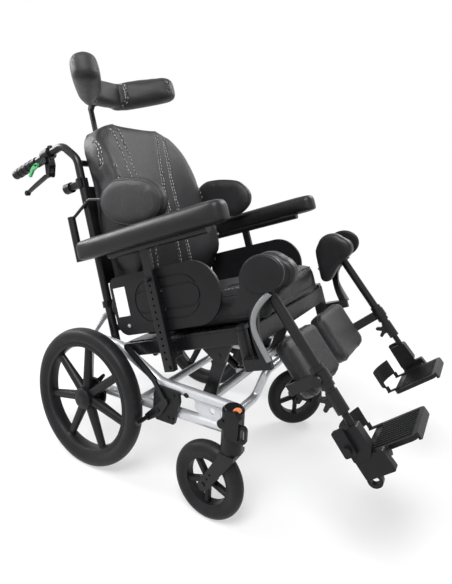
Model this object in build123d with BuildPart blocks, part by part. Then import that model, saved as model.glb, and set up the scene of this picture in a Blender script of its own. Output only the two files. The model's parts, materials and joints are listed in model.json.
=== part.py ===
"""Tilt in space wheelchair, built as named pieces in millimetres.

+X is forward, +Y is to the sitter's left, +Z is up, the floor is Z = 0 and the right side is -Y.
Right-hand pieces are modelled and the left-hand ones are their mirror images. Everything above the
base is placed in the tilted seat frame, and everything below the knee in the leg frame.
"""
from build123d import *
import math
import os

os.makedirs("parts", exist_ok=True)

# ---- overall layout --------------------------------------------------------------------------
rear_axle_x = -209.8
wheelbase = 481.0
rear_wheel_d = 406.0
rear_tyre_width = 48.0
rear_track = 628.0
castor_d = 200.0
castor_tyre_width = 38.0
castor_track = 580.0
castor_trail = 62.0
left_castor_turn = 42.0

seat_tilt = 18.7
tilt_pivot_forward = 398.0
tilt_pivot_height = 400.0
leg_angle = 20.75
knee_forward = 205.0
knee_up = 184.0

running = 0.05
sliding = 0.03
gap = 0.4
spring_pin_play = 2.0

# ---- base ------------------------------------------------------------------------------------
frame_od = 28.0
frame_y = 264.0
socket_bore = 20.0
upper_tube_height = 294.0
lower_tube_front_height = 236.0
lower_tube_rear_height = 208.0
frame_rear = 70.0
bow_od = 22.0
bow_back = 90.0
bow_height = 390.0
mid_cross_forward = 168.0
mid_cross_od = 24.0
tilt_cross_forward = 362.0
tilt_cross_height = 262.0
tilt_cross_od = 26.0
gusset_thickness = 4.0
housing_od = 56.0
housing_bottom = 201.0
housing_top = 306.0
stem_d = 18.0
axle_plate_thickness = 6.0
axle_d = 16.0
drum_d = 92.0
drum_thickness = 7.0
hub_d = 62.0
hub_width = 44.0
hub_cap = 9.0
rim_inner_d = 298.0
rim_outer_d = 326.0
rim_width = 34.0
spoke_count = 7
castor_axle_d = 12.0
castor_hub_width = 44.0
castor_rim_d = 132.0
castor_spoke_count = 5
fork_leg_thickness = 6.0
support_thickness = 8.0
support_y = 214.0
pivot_pin_d = 14.0
brake_pivot_forward = 250.0
brake_pivot_height = 230.0
brake_pivot_d = 12.0
brake_mount_thickness = 10.0
brake_lever_thickness = 6.0
brake_pin_d = 12.0
brake_pin_gap = 6.0

# ---- springs ---------------------------------------------------------------------------------
spring_pin_d = 8.0
spring_eye_width = 14.0
spring_lug_thickness = 5.0
tilt_spring_forward = 340.0
tilt_spring_height = 262.0
tilt_spring_s = -200.0
tilt_spring_n = 8.0
tilt_cylinder_od = 24.0
tilt_cylinder_length = 104.0
tilt_rod_d = 10.0
tilt_rod_length = 116.0
recline_spring_y = 60.0
recline_spring_s = -190.0
recline_spring_n = 4.0
recline_arm_s = -372.0
recline_arm_n = -15.0
recline_cylinder_od = 22.0
recline_cylinder_length = 112.0
recline_rod_d = 9.0
recline_rod_length = 122.0

# ---- seat frame ------------------------------------------------------------------------------
rail_y = 237.0
rail_width = 18.0
rail_bottom = 26.0
rail_top = 66.0
rail_rear = -344.0
rail_front = 132.0
rail_wall = 3.0
seat_plate_thickness = 4.0
panel_drop = 1.5
cushion_half_width = 226.0
cushion_rear = -262.0
cushion_front = 148.0
cushion_side_height = 82.0
cushion_crown = 16.0
cushion_corner = 24.0
guard_y = 270.0
guard_thickness = 8.0
guard_rear = -297.0
guard_front = 79.0
guard_bottom = 93.0
guard_top = 263.0
post_forward = -122.0
socket_y = 288.0
socket_width = 34.0
socket_depth = 20.0
socket_bottom = -12.0
socket_top = 245.0
post_width = 27.0
post_depth = 13.0
post_bottom = 110.0
post_hole_pitch = 18.0
post_hole_d = 7.0
arm_tube_n = 329.0
arm_tube_od = 25.0
arm_tube_rear = -253.0
arm_tube_front = 95.0
arm_pad_rear = -350.0
arm_pad_front = 166.0
arm_pad_bottom = 346.0
arm_pad_thickness = 43.0
arm_pad_width = 61.0
arm_pad_y = 302.0
belt_s = 20.0
belt_width = 38.0
belt_thickness = 2.5

# ---- back ------------------------------------------------------------------------------------
back_pivot_s = -366.0
back_pivot_n = 45.0
back_pin_d = 12.0
back_tube_od = 25.0
back_tube_y = 229.0
torque_tube_od = 24.0
handle_end_s = -678.0
grip_od = 32.0
grip_length = 126.0
back_panel_bottom = 250.0
back_panel_top = 560.0
back_panel_thickness = 3.0
back_half_width = 222.0
back_bottom_n = 118.0
back_top_n = 786.0
back_thickness = 52.0
stem_s = -490.0
stem_width = 18.0
stem_depth = 12.0
stem_bottom = 660.0
stem_top = 915.0
head_rear_s = -432.0
head_front_s = -392.0
head_wing_s = -262.0
head_panel_half = 62.0
head_half_width = 196.0
head_bottom = 876.0
head_top = 986.0
head_pivot_s = -475.0
head_pivot_n = 922.0
lateral_pad_length = 214.0
lateral_pad_height = 110.0
lateral_pad_thickness = 34.0
lateral_pad_s = -168.0
lateral_pad_n = 469.0
lateral_pad_turn = -15.0
lateral_pad_inner_y = 230.0
lateral_post_s = -424.0
lateral_post_y = 250.0
lateral_post_d = 12.0
lateral_bar_od = 10.0
lateral_low = 352.0
lateral_high = 480.0

# ---- legs ------------------------------------------------------------------------------------
leg_y = 284.0
leg_tube_od = 25.0
leg_tube_end = 286.0
sleeve_end = 333.0
sleeve_od = 30.0
foot_tube_d = 17.0
foot_tube_top = 190.0
foot_housing_top = 362.0
hanger_pin_s = 112.0
hanger_pin_y = 272.0
hanger_pin_d = 16.0
hanger_sleeve_od = 30.0
hanger_bottom = -30.0
hanger_top = 80.0
hanger_arm_thickness = 10.0
knuckle_d = 62.0
knuckle_width = 31.0
knee_pin_d = 16.0
knee_disc_d = 90.0
hanger_plate_thickness = 12.0
knee_pad_thickness = 40.0
calf_clamp_u = 250.0
calf_clamp_width = 26.0
calf_clamp_od = 38.0
calf_arm_thickness = 5.0
calf_pad_inner_y = 60.0
calf_pad_outer_y = 232.0
calf_pad_top_u = 148.0
calf_pad_height = 150.0
calf_pad_front_v = -66.0
calf_pad_thickness = 44.0
foot_hinge_y = 258.0
foot_hinge_u = 444.0
foot_hinge_d = 10.0
foot_plate_thickness = 10.0
foot_plate_top_u = 437.0
foot_plate_inner_y = 100.0
foot_plate_heel_v = -34.0
foot_plate_toe_v = 96.0
foot_toe_lip = 14.0

# ---- derived frames --------------------------------------------------------------------------
rear_wheel_y = rear_track / 2
back_panel_s = back_pivot_s + 10
back_rear_s = back_panel_s + back_panel_thickness + gap
rear_radius = rear_wheel_d / 2
castor_y = castor_track / 2
castor_radius = castor_d / 2
tube_face_y = frame_y + frame_od / 2
lean = math.radians(seat_tilt)
leg_lean = math.radians(seat_tilt + leg_angle)
base = Plane(origin=(rear_axle_x, 0, 0), x_dir=(1, 0, 0), z_dir=(0, 0, 1))
seat = Plane(
    origin=(rear_axle_x + tilt_pivot_forward, 0, tilt_pivot_height),
    x_dir=(math.cos(lean), 0, math.sin(lean)),
    z_dir=(-math.sin(lean), 0, math.cos(lean)),
)
seat_up = Axis(seat.origin, seat.z_dir)
leg = Plane(
    origin=seat.from_local_coords(Vector(knee_forward, 0, knee_up)),
    x_dir=(math.cos(leg_lean), 0, math.sin(leg_lean)),
    z_dir=(-math.sin(leg_lean), 0, math.cos(leg_lean)),
)


def spot(frame, x, y, z):
    """A point given in a frame."""
    return frame.from_local_coords(Vector(x, y, z))


def side(frame, x=0.0, y=0.0, z=0.0):
    """Side view plane: sketch x runs forward, sketch y runs up, the normal points to the right."""
    return Plane(origin=spot(frame, x, y, z), x_dir=frame.x_dir, z_dir=-frame.y_dir)


def top(frame, x=0.0, y=0.0, z=0.0):
    """Plan view plane of a frame, whose normal points up."""
    return Plane(origin=spot(frame, x, y, z), x_dir=frame.x_dir, z_dir=frame.z_dir)


def front(frame, x=0.0, y=0.0, z=0.0):
    """Plane facing forward: sketch x runs to the left, sketch y runs up."""
    return Plane(origin=spot(frame, x, y, z), x_dir=frame.y_dir, z_dir=frame.x_dir)


def write(piece, label):
    """Label a finished piece and write it."""
    piece.part.label = label
    export_step(piece.part, f"parts/{label}.step")


def write_both(piece, name):
    """Write the right-hand piece and its mirror image."""
    write(piece, f"{name}_right")
    with BuildPart() as other:
        mirror(piece.part, about=Plane.XZ)
    write(other, f"{name}_left")


def bar(points, radii, diameter, mode=Mode.ADD):
    """A round bar along straight runs, joined by bends where there are more than two points."""
    with BuildLine(mode=Mode.PRIVATE) as run:
        if len(points) > 2:
            FilletPolyline(*points, radius=radii)
        else:
            Line(*points)
    with BuildSketch(Plane(origin=run.line @ 0, z_dir=run.line % 0)) as section:
        Circle(diameter / 2)
    sweep(sections=section.sketch, path=run.line, mode=mode)


def disc(plane, diameter, thickness, mode=Mode.ADD):
    """A round disc or pin that stands on a plane."""
    with BuildSketch(plane) as outline:
        Circle(diameter / 2)
    extrude(outline.sketch, amount=thickness, mode=mode)


def block(plane, width, height, thickness, corner=0.0, mode=Mode.ADD):
    """A rectangular block that stands on a plane, centred on it, with rounded corners."""
    with BuildSketch(plane) as outline:
        Rectangle(width, height)
        if corner > 0:
            fillet(outline.vertices(), corner)
    extrude(outline.sketch, amount=thickness, mode=mode)


def plate(plane, points, thickness, corner=0.0, mode=Mode.ADD):
    """A plate with the given corners that stands on a plane."""
    with BuildSketch(plane) as outline:
        with BuildLine():
            Polyline(*points, close=True)
        make_face()
        if corner > 0:
            fillet(outline.vertices(), corner)
    extrude(outline.sketch, amount=thickness, mode=mode)


def link(plane, ends, thickness, mode=Mode.ADD):
    """A plate that wraps round discs, each given as (x, y, diameter)."""
    with BuildSketch(plane) as outline:
        for x, y, diameter in ends:
            with Locations((x, y)):
                Circle(diameter / 2)
        make_hull()
    extrude(outline.sketch, amount=thickness, mode=mode)


# ==============================================================================================
# Base: welded tube frame, castor housings, axle plates and brakes
# ==============================================================================================
rear_bow_points = [
    spot(base, -30, -frame_y, 356),
    spot(base, 4 - bow_back, 16 - frame_y, 322),
    spot(base, -bow_back, -168, bow_height),
    spot(base, -bow_back, 168, bow_height),
    spot(base, 4 - bow_back, frame_y - 16, 322),
    spot(base, -30, frame_y, 356),
]
front_bow_points = [
    spot(base, wheelbase + 4, -castor_y, upper_tube_height),
    spot(base, wheelbase + 4, -184, upper_tube_height),
    spot(base, wheelbase + 24, -162, 364),
    spot(base, wheelbase + 24, 162, 364),
    spot(base, wheelbase + 4, 184, upper_tube_height),
    spot(base, wheelbase + 4, castor_y, upper_tube_height),
]
spring_lug_offset = spring_eye_width / 2 + 1

with BuildPart() as base_frame:
    for hand in (-1, 1):
        y = hand * frame_y
        upper_run = [
            spot(base, wheelbase - 8, y, upper_tube_height),
            spot(base, 236, y, upper_tube_height),
            spot(base, 80, y, 361),
            spot(base, -50, y, 365),
            spot(base, -50, y, lower_tube_rear_height),
        ]
        bar(upper_run, [60, 45, 40], frame_od)
        bar(
            [spot(base, wheelbase - 8, y, lower_tube_front_height), spot(base, -frame_rear, y, lower_tube_rear_height)],
            [],
            frame_od,
        )
    bar(rear_bow_points, [24, 30, 30, 24], bow_od)
    bar(front_bow_points, [22, 24, 24, 22], bow_od)
    disc(side(base, mid_cross_forward, frame_y, 226), mid_cross_od, 2 * frame_y)
    disc(side(base, tilt_cross_forward, frame_y, tilt_cross_height), tilt_cross_od, 2 * frame_y)
    for hand in (-1, 1):
        # gusset between the two tubes, with two round pressings
        gusset_corners = [
            (wheelbase - 16, lower_tube_front_height),
            (wheelbase - 16, upper_tube_height),
            (tilt_cross_forward - 22, upper_tube_height),
            (tilt_cross_forward + 10, lower_tube_front_height - 5),
        ]
        plate(side(base, 0, hand * frame_y + gusset_thickness / 2, 0), gusset_corners, gusset_thickness)
        for forward in (wheelbase - 44, wheelbase - 76):
            disc(side(base, forward, hand * frame_y + 4, 265), 16, 8, mode=Mode.SUBTRACT)
        # room for the castor housing that is welded on
        disc(top(base, wheelbase, hand * castor_y, housing_bottom - 20), housing_od, 160, mode=Mode.SUBTRACT)
        # open rear end of the lower tube, where an anti-tip wheel plugs in
        socket = Plane(origin=spot(base, -frame_rear - 10, hand * frame_y, lower_tube_rear_height), z_dir=(1, 0, 0))
        disc(socket, socket_bore, 50, mode=Mode.SUBTRACT)
    # lugs and pin of the tilt spring, behind the front cross tube
    for y in (spring_lug_offset + spring_lug_thickness, -spring_lug_offset):
        lug_ends = [
            (tilt_spring_forward, tilt_spring_height, 2.2 * spring_pin_d),
            (tilt_cross_forward, tilt_cross_height, tilt_cross_od),
        ]
        link(side(base, 0, y, 0), lug_ends, spring_lug_thickness)
    disc(
        side(base, tilt_spring_forward, spring_lug_offset + spring_lug_thickness, tilt_spring_height),
        spring_pin_d,
        2 * (spring_lug_offset + spring_lug_thickness),
    )
write(base_frame, "base_frame")

with BuildPart() as castor_housings:
    for hand in (-1, 1):
        disc(top(base, wheelbase, hand * castor_y, housing_bottom), housing_od, housing_top - housing_bottom)
        disc(top(base, wheelbase, hand * castor_y, housing_top), housing_od - 8, 7)
        # outer cup with its domed bolt
        cup = side(base, wheelbase - 18, hand * castor_y, 275)
        disc(Plane(origin=cup.origin, x_dir=(1, 0, 0), z_dir=(0, hand, 0)), 22, housing_od / 2 + 1)
    fillet(castor_housings.edges().filter_by(GeomType.CIRCLE).group_by(Axis.Z)[-1], 4)
    for hand in (-1, 1):
        disc(top(base, wheelbase, hand * castor_y, housing_bottom), stem_d, 92, mode=Mode.SUBTRACT)
write(castor_housings, "castor_housings")

with BuildPart() as front_covers:
    for hand in (-1, 1):
        outer = Plane(origin=spot(base, 0, hand * (castor_y + 16), 0), x_dir=(1, 0, 0), z_dir=(0, -1, 0))
        shell_corners = [
            (wheelbase - 6, 247),
            (wheelbase + 30, 245),
            (wheelbase + 33, 300),
            (wheelbase + 20, 318),
            (wheelbase - 6, 316),
        ]
        loop_ends = [(wheelbase + 40, 254, 22), (wheelbase + 40, 276, 22), (wheelbase + 24, 265, 30)]
        loop_hole = [(wheelbase + 40, 256, 10), (wheelbase + 40, 274, 10)]
        plate(outer.offset(-16 * (1 + hand) / 2), shell_corners, 16, 4)
        link(outer.offset(-12 if hand > 0 else 2), loop_ends, 8)
        link(outer.offset(-20), loop_hole, 40, mode=Mode.SUBTRACT)
        disc(top(base, wheelbase, hand * castor_y, housing_bottom), housing_od, 140, mode=Mode.SUBTRACT)
write(front_covers, "front_covers")

axle_plate_corners = [
    (-46, 232),
    (-58, 204),
    (-52, 176),
    (-34, 168),
    (-26, 178),
    (-38, 188),
    (-34, 198),
    (-16, 176),
    (14, 176),
    (36, 190),
    (42, 230),
]
with BuildPart() as axle_brackets:
    plate(side(base, 0, -tube_face_y, 0), axle_plate_corners, axle_plate_thickness, 2.5)
    disc(side(base, -42, -tube_face_y, 218), 9, axle_plate_thickness, mode=Mode.SUBTRACT)
    spindle_length = rear_wheel_y + hub_width / 2 - tube_face_y + 2
    disc(side(base, 0, -tube_face_y, rear_radius), axle_d, spindle_length)
    mirror(about=Plane.XZ)
write(axle_brackets, "axle_brackets")

with BuildPart() as drum_brakes:
    drum_face = side(base, 0, -tube_face_y - axle_plate_thickness, rear_radius)
    disc(drum_face, drum_d, drum_thickness)
    fillet(drum_brakes.faces().sort_by(Axis.Y)[0].edges(), 3)
    link(drum_face, [(14, 40, 16), (34, 62, 10)], 4)
    disc(side(base, 34, -tube_face_y - axle_plate_thickness, rear_radius + 62), 6, 6)
    disc(drum_face, axle_d, drum_thickness, mode=Mode.SUBTRACT)
    mirror(about=Plane.XZ)
write(drum_brakes, "drum_brakes")

brake_mount_corners = [(228, 268), (236, 294), (312, 294), (316, 268), (300, 202), (240, 199), (228, 216)]
brake_face_y = tube_face_y + brake_mount_thickness
with BuildPart() as parking_brake_mounts:
    plate(side(base, 0, -tube_face_y, 0), brake_mount_corners, brake_mount_thickness, 4)
    pivot_length = brake_mount_thickness + brake_lever_thickness + 3
    disc(side(base, brake_pivot_forward, -tube_face_y, brake_pivot_height), brake_pivot_d, pivot_length)
    for forward, height in ((296, 282), (296, 216), (280, 216)):
        disc(side(base, forward, -brake_face_y, height), 9, 3)
    mirror(about=Plane.XZ)
write(parking_brake_mounts, "parking_brake_mounts")

brake_pin_forward = rear_radius + brake_pin_gap + brake_pin_d / 2
lever_y = brake_face_y + 1
with BuildPart() as parking_brake_lever:
    lever_face = side(base, 0, -lever_y, 0)
    link(lever_face, [(129, 378, 17), (231, 312, 17)], brake_lever_thickness)
    link(lever_face, [(226, 316, 13), (272, 260, 13)], brake_lever_thickness)
    link(lever_face, [(272, 260, 20), (brake_pivot_forward, brake_pivot_height, 28)], brake_lever_thickness)
    pin_ends = [(brake_pivot_forward, brake_pivot_height, 28), (brake_pin_forward, rear_radius - 2, 20)]
    link(lever_face, pin_ends, brake_lever_thickness)
    pin_reach = rear_wheel_y + rear_tyre_width / 2 - lever_y
    disc(side(base, brake_pin_forward, -lever_y, rear_radius - 2), brake_pin_d, pin_reach)
    pivot_bore = side(base, brake_pivot_forward, 0, brake_pivot_height)
    disc(pivot_bore, brake_pivot_d + 2 * running, rear_wheel_y, mode=Mode.SUBTRACT)
write_both(parking_brake_lever, "parking_brake_lever")

with BuildPart() as tilt_supports:
    support_face = side(base, 0, -support_y, 0)
    lower_ends = [
        (tilt_cross_forward, tilt_cross_height, tilt_cross_od + 18),
        (tilt_cross_forward + 16, tilt_cross_height + 62, 34),
    ]
    upper_ends = [
        (tilt_cross_forward + 16, tilt_cross_height + 62, 34),
        (tilt_pivot_forward, tilt_pivot_height, 40),
    ]
    link(support_face, lower_ends, support_thickness)
    link(support_face, upper_ends, support_thickness)
    disc(side(base, tilt_cross_forward, 0, tilt_cross_height), tilt_cross_od, frame_y, mode=Mode.SUBTRACT)
    disc(side(base, tilt_pivot_forward, -support_y, tilt_pivot_height), pivot_pin_d, support_thickness + 14)
    mirror(about=Plane.XZ)
write(tilt_supports, "tilt_supports")

# ==============================================================================================
# Wheels
# ==============================================================================================
axle_line = Axis(origin=spot(base, 0, -rear_wheel_y, rear_radius), direction=(0, 1, 0))
with BuildPart() as rear_tyre:
    half = rear_tyre_width / 2
    bead = rim_outer_d / 2
    with BuildSketch(front(base, 0, -rear_wheel_y, rear_radius)):
        with BuildLine():
            Polyline((-half + 8, bead), (half - 8, bead), (half - 1, bead + 10))
            ThreePointArc((half - 1, bead + 10), (half, bead + 22), (half - 6, rear_radius - 5))
            ThreePointArc((half - 6, rear_radius - 5), (0, rear_radius), (6 - half, rear_radius - 5))
            ThreePointArc((6 - half, rear_radius - 5), (-half, bead + 22), (1 - half, bead + 10))
            Line((1 - half, bead + 10), (8 - half, bead))
        make_face()
    revolve(axis=axle_line)
write_both(rear_tyre, "rear_tyre")

with BuildPart() as rear_rim:
    half = rim_width / 2
    with BuildSketch(front(base, 0, -rear_wheel_y, rear_radius)):
        with BuildLine():
            Polyline(
                (-half, rim_inner_d / 2 + 4),
                (-half, rim_outer_d / 2),
                (half, rim_outer_d / 2),
                (half, rim_inner_d / 2 + 4),
                (half - 8, rim_inner_d / 2),
                (8 - half, rim_inner_d / 2),
                close=True,
            )
        make_face()
        with BuildLine():
            Line((hub_width / 2, 0), (hub_width / 2, hub_d / 2))
            Line((hub_width / 2, hub_d / 2), (-hub_width / 2, hub_d / 2))
            ThreePointArc(
                (-hub_width / 2, hub_d / 2),
                (-hub_width / 2 - 0.75 * hub_cap, hub_d / 3),
                (-hub_width / 2 - hub_cap, hub_d / 9),
            )
            Polyline((-hub_width / 2 - hub_cap, hub_d / 9), (-hub_width / 2 - hub_cap, 0), (hub_width / 2, 0))
        make_face()
    revolve(axis=axle_line)
    for index in range(spoke_count):
        turn = 2 * math.pi * index / spoke_count
        out = Vector(math.sin(turn), 0, math.cos(turn))
        hub_end = spot(base, 0, -rear_wheel_y, rear_radius) + out * (hub_d / 2 - 6)
        rim_end = spot(base, 0, -rear_wheel_y, rear_radius) + out * (rim_inner_d / 2 + 3)
        with BuildSketch(Plane(origin=hub_end, x_dir=(0, 1, 0), z_dir=out)) as spoke_root:
            Ellipse(15, 14)
        with BuildSketch(Plane(origin=rim_end, x_dir=(0, 1, 0), z_dir=out)) as spoke_tip:
            Ellipse(9, 12)
        loft(sections=[spoke_root.sketch, spoke_tip.sketch])
    disc(
        Plane(origin=spot(base, 0, 2 * running - rear_wheel_y + hub_width, rear_radius), z_dir=(0, -1, 0)),
        axle_d + 2 * running,
        1.5 * hub_width + 4,
        mode=Mode.SUBTRACT,
    )
write_both(rear_rim, "rear_rim")


def castor_frame(hand):
    """Frame on the floor under a castor stem, turned as the castor stands at rest."""
    turn = math.radians(left_castor_turn if hand > 0 else 0.0)
    x_dir = (math.cos(turn), math.sin(turn), 0)
    return Plane(origin=spot(base, wheelbase, hand * castor_y, 0), x_dir=x_dir, z_dir=(0, 0, 1))


castor_leg_inner = castor_hub_width / 2 + 1
for hand, name in ((-1, "right"), (1, "left")):
    castor = castor_frame(hand)
    with BuildPart() as castor_fork:
        crown_outer = castor_leg_inner + fork_leg_thickness
        disc(top(castor, 0, 0, housing_bottom - 8), stem_d - 2 * running, 96)
        block(top(castor, 3.5, 0, housing_bottom - 12), 35, 2 * crown_outer, 11.5, 6)
        leg_corners = [
            (21, housing_bottom - 0.5),
            (21, housing_bottom - 10),
            (-castor_trail + 17, castor_radius - 3),
            (-castor_trail + 8, castor_radius - 16),
            (-castor_trail - 8, castor_radius - 16),
            (-castor_trail - 17, castor_radius - 3),
            (-23, housing_bottom - 10),
            (-23, housing_bottom - 0.5),
        ]
        for y in (crown_outer, -castor_leg_inner):
            plate(side(castor, 0, y, 0), leg_corners, fork_leg_thickness, 0.4)
        disc(side(castor, -castor_trail, crown_outer + 3, castor_radius), castor_axle_d, 2 * crown_outer + 6)
        for step in (20, 34):
            hole = side(castor, -castor_trail + 0.55 * step, crown_outer + 5, castor_radius + step)
            disc(hole, 6, 2 * crown_outer + 10, mode=Mode.SUBTRACT)
    write(castor_fork, f"castor_fork_{name}")

    castor_line = Axis(origin=spot(castor, -castor_trail, 0, castor_radius), direction=castor.y_dir)
    with BuildPart() as castor_wheel:
        half = castor_tyre_width / 2
        rim = castor_rim_d / 2
        with BuildSketch(front(castor, -castor_trail, 0, castor_radius)):
            with BuildLine():
                Line((-half + 5, rim), (half - 5, rim))
                Line((half - 5, rim), (half, rim + 9))
                ThreePointArc((half, rim + 9), (0, castor_radius), (-half, rim + 9))
                Line((-half, rim + 9), (-half + 5, rim))
            make_face()
            with Locations((0, rim - 3)):
                Rectangle(castor_tyre_width - 10, 8)
            with Locations((0, 9)):
                Rectangle(castor_hub_width, 18)
        revolve(axis=castor_line)
        for index in range(castor_spoke_count):
            turn = 2 * math.pi * (index + 0.5) / castor_spoke_count
            out = castor.x_dir * math.sin(turn) + castor.z_dir * math.cos(turn)
            hub_end = castor_line.position + out * 14
            with BuildSketch(Plane(origin=hub_end, x_dir=castor.y_dir, z_dir=out)) as spoke:
                RectangleRounded(18, 13, 5)
            extrude(spoke.sketch, amount=rim - 18)
        disc(side(castor, -castor_trail, 40, castor_radius), castor_axle_d + 2 * running, 80, mode=Mode.SUBTRACT)
    write(castor_wheel, f"castor_wheel_{name}")

# ==============================================================================================
# Seat
# ==============================================================================================
rail_mid = (rail_bottom + rail_top) / 2
rail_height = rail_top - rail_bottom
rail_face_y = rail_y + rail_width / 2
hinge_plate_y = rail_face_y - 2
socket_face_y = socket_y - socket_depth / 2
leg_bracket_s = (hanger_pin_s - 16, hanger_pin_s + 16)

with BuildPart() as seat_frame:
    for hand in (-1, 1):
        rail_length = rail_front - rail_rear
        rail_end = front(seat, rail_rear, hand * rail_y, rail_mid)
        block(rail_end, rail_width, rail_height, rail_length, 4)
        block(rail_end, rail_width - 2 * rail_wall, rail_height - 2 * rail_wall, rail_length, mode=Mode.SUBTRACT)
    for forward, diameter in ((rail_front - 14, 24), (tilt_spring_s, 22), (-60, 22), (rail_rear + 30, 22)):
        disc(side(seat, forward, rail_y, rail_mid), diameter, 2 * rail_y)
    plate_mid = (rail_rear + 40 + rail_front) / 2
    plate_length = rail_front - rail_rear - 40
    block(top(seat, plate_mid, 0, rail_top - 1), plate_length, 2 * rail_face_y - 3, seat_plate_thickness + 1, 12)
    # front cross panel with its rounded corners, which hides the front edge of the seat plate
    panel_height = rail_height + panel_drop + seat_plate_thickness / 2
    panel_mid = rail_bottom - panel_drop + panel_height / 2
    block(front(seat, rail_front - 5, 0, panel_mid), 2 * rail_face_y - 5, panel_height, 9, 8)
    # lugs for the tilt spring and the recline spring
    for y in (spring_lug_offset + spring_lug_thickness, -spring_lug_offset):
        tilt_lug = [(tilt_spring_s, tilt_spring_n, 2.2 * spring_pin_d), (tilt_spring_s, rail_mid, 22)]
        link(side(seat, 0, y, 0), tilt_lug, spring_lug_thickness)
        recline_lug = [(recline_spring_s, recline_spring_n, 2.2 * spring_pin_d), (tilt_spring_s, rail_mid, 22)]
        link(side(seat, 0, recline_spring_y + y, 0), recline_lug, spring_lug_thickness)
    pin_reach = spring_lug_offset + spring_lug_thickness
    disc(side(seat, tilt_spring_s, pin_reach, tilt_spring_n), spring_pin_d, 2 * pin_reach)
    recline_pin = side(seat, recline_spring_s, recline_spring_y + pin_reach, recline_spring_n)
    disc(recline_pin, spring_pin_d, 2 * pin_reach)
with BuildPart() as seat_side:
    # tilt bracket under the rail
    bracket_ends = [(0, 0, 42), (-46, rail_mid, 30), (46, rail_mid, 30)]
    link(side(seat, 0, 2 - support_y - support_thickness - 4, 0), bracket_ends, 10)
    disc(side(seat, 0, 0, 0), pivot_pin_d + 2 * running, rail_y + 40, mode=Mode.SUBTRACT)
    # back hinge plate with its pin
    hinge_ends = [(back_pivot_s, back_pivot_n, 38), (rail_rear + 44, rail_mid, 36)]
    link(side(seat, 0, -hinge_plate_y, 0), hinge_ends, 4)
    hinge_pin_inner = back_tube_y - back_tube_od / 2
    disc(side(seat, back_pivot_s, -hinge_pin_inner, back_pivot_n), back_pin_d, hinge_plate_y - hinge_pin_inner + 2)
    # upright and arms that carry the legrest pin
    upright_mid = (hanger_bottom + hanger_top) / 2
    upright = side(seat, hanger_pin_s, -rail_face_y, upright_mid)
    block(upright, 32, hanger_top - hanger_bottom, 6, 2)
    for low in (hanger_bottom, hanger_top - 10):
        arm = top(seat, 0, 0, low)
        arm_ends = [(hanger_pin_s, -hanger_pin_y, 26), (hanger_pin_s, -rail_face_y - 4, 26)]
        link(arm, arm_ends, 10)
    disc(top(seat, hanger_pin_s, -hanger_pin_y, hanger_bottom), hanger_pin_d, hanger_top - hanger_bottom)
with BuildPart() as seat_frame_whole:
    add(seat_frame.part)
    add(seat_side.part)
    mirror(seat_side.part, about=Plane.XZ)
write(seat_frame_whole, "seat_frame")

with BuildPart() as seat_cushion:
    low = rail_top + seat_plate_thickness + gap
    high = low + cushion_side_height
    wide = cushion_half_width
    with BuildSketch(front(seat, cushion_rear, 0, 0)):
        with BuildLine():
            Polyline((-wide + 8, low), (wide - 8, low), (wide, low + 20), (wide, high - 6))
            ThreePointArc((wide, high - 6), (wide - 12, high + 1), (wide - 40, high + 5))
            ThreePointArc((wide - 40, high + 5), (0, high + cushion_crown), (40 - wide, high + 5))
            ThreePointArc((40 - wide, high + 5), (12 - wide, high + 1), (-wide, high - 6))
            Polyline((-wide, high - 6), (-wide, low + 20), (-wide + 8, low))
        make_face()
    extrude(amount=cushion_front - cushion_rear)
    with BuildSketch(top(seat, 0, 0, low)):
        with BuildLine():
            ThreePointArc((cushion_rear, -wide + 6), (cushion_rear + 8, 0), (cushion_rear, wide - 6))
            Line((cushion_rear, wide - 6), (cushion_front - 36, wide))
            ThreePointArc((cushion_front - 36, wide), (cushion_front - 9, wide - 9), (cushion_front - 6, wide - 36))
            ThreePointArc((cushion_front - 6, wide - 36), (cushion_front, 0), (cushion_front - 6, 36 - wide))
            ThreePointArc((cushion_front - 6, 36 - wide), (cushion_front - 9, 9 - wide), (cushion_front - 36, -wide))
            Line((cushion_front - 36, -wide), (cushion_rear, -wide + 6))
        make_face()
    extrude(amount=cushion_side_height + 2 * cushion_crown, mode=Mode.INTERSECT)
    # waterfall front edge
    with BuildSketch(side(seat, 0, wide + 20, 0)):
        with BuildLine():
            Polyline(
                (cushion_rear - 5, low - 5),
                (cushion_front + 5, low - 5),
                (cushion_front + 5, low + 38),
            )
            ThreePointArc(
                (cushion_front + 5, low + 38),
                (cushion_front - 16, high - 6),
                (cushion_front - 66, high + cushion_crown + 1),
            )
            Line((cushion_front - 66, high + cushion_crown + 1), (cushion_rear - 5, high + cushion_crown + 1))
            Line((cushion_rear - 5, high + cushion_crown + 1), (cushion_rear - 5, low - 5))
        make_face()
    extrude(amount=2 * wide + 40, mode=Mode.INTERSECT)
write(seat_cushion, "seat_cushion")

with BuildPart() as pelvic_belt:
    crown_n = rail_top + seat_plate_thickness + gap + cushion_side_height + cushion_crown + gap
    with BuildSketch(front(seat, belt_s, 0, 0)):
        with BuildLine():
            ThreePointArc((-150, crown_n - 5), (0, crown_n), (150, crown_n - 5))
            Line((150, crown_n - 5), (150, crown_n - 5 + belt_thickness))
            ThreePointArc(
                (150, crown_n - 5 + belt_thickness),
                (0, crown_n + belt_thickness),
                (-150, crown_n - 5 + belt_thickness),
            )
            Line((-150, crown_n - 5 + belt_thickness), (-150, crown_n - 5))
        make_face()
    extrude(amount=belt_width)
    block(top(seat, belt_s + belt_width / 2, 0, crown_n + 0.5), belt_width + 10, 62, 10, 5)
write(pelvic_belt, "pelvic_belt")

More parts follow.
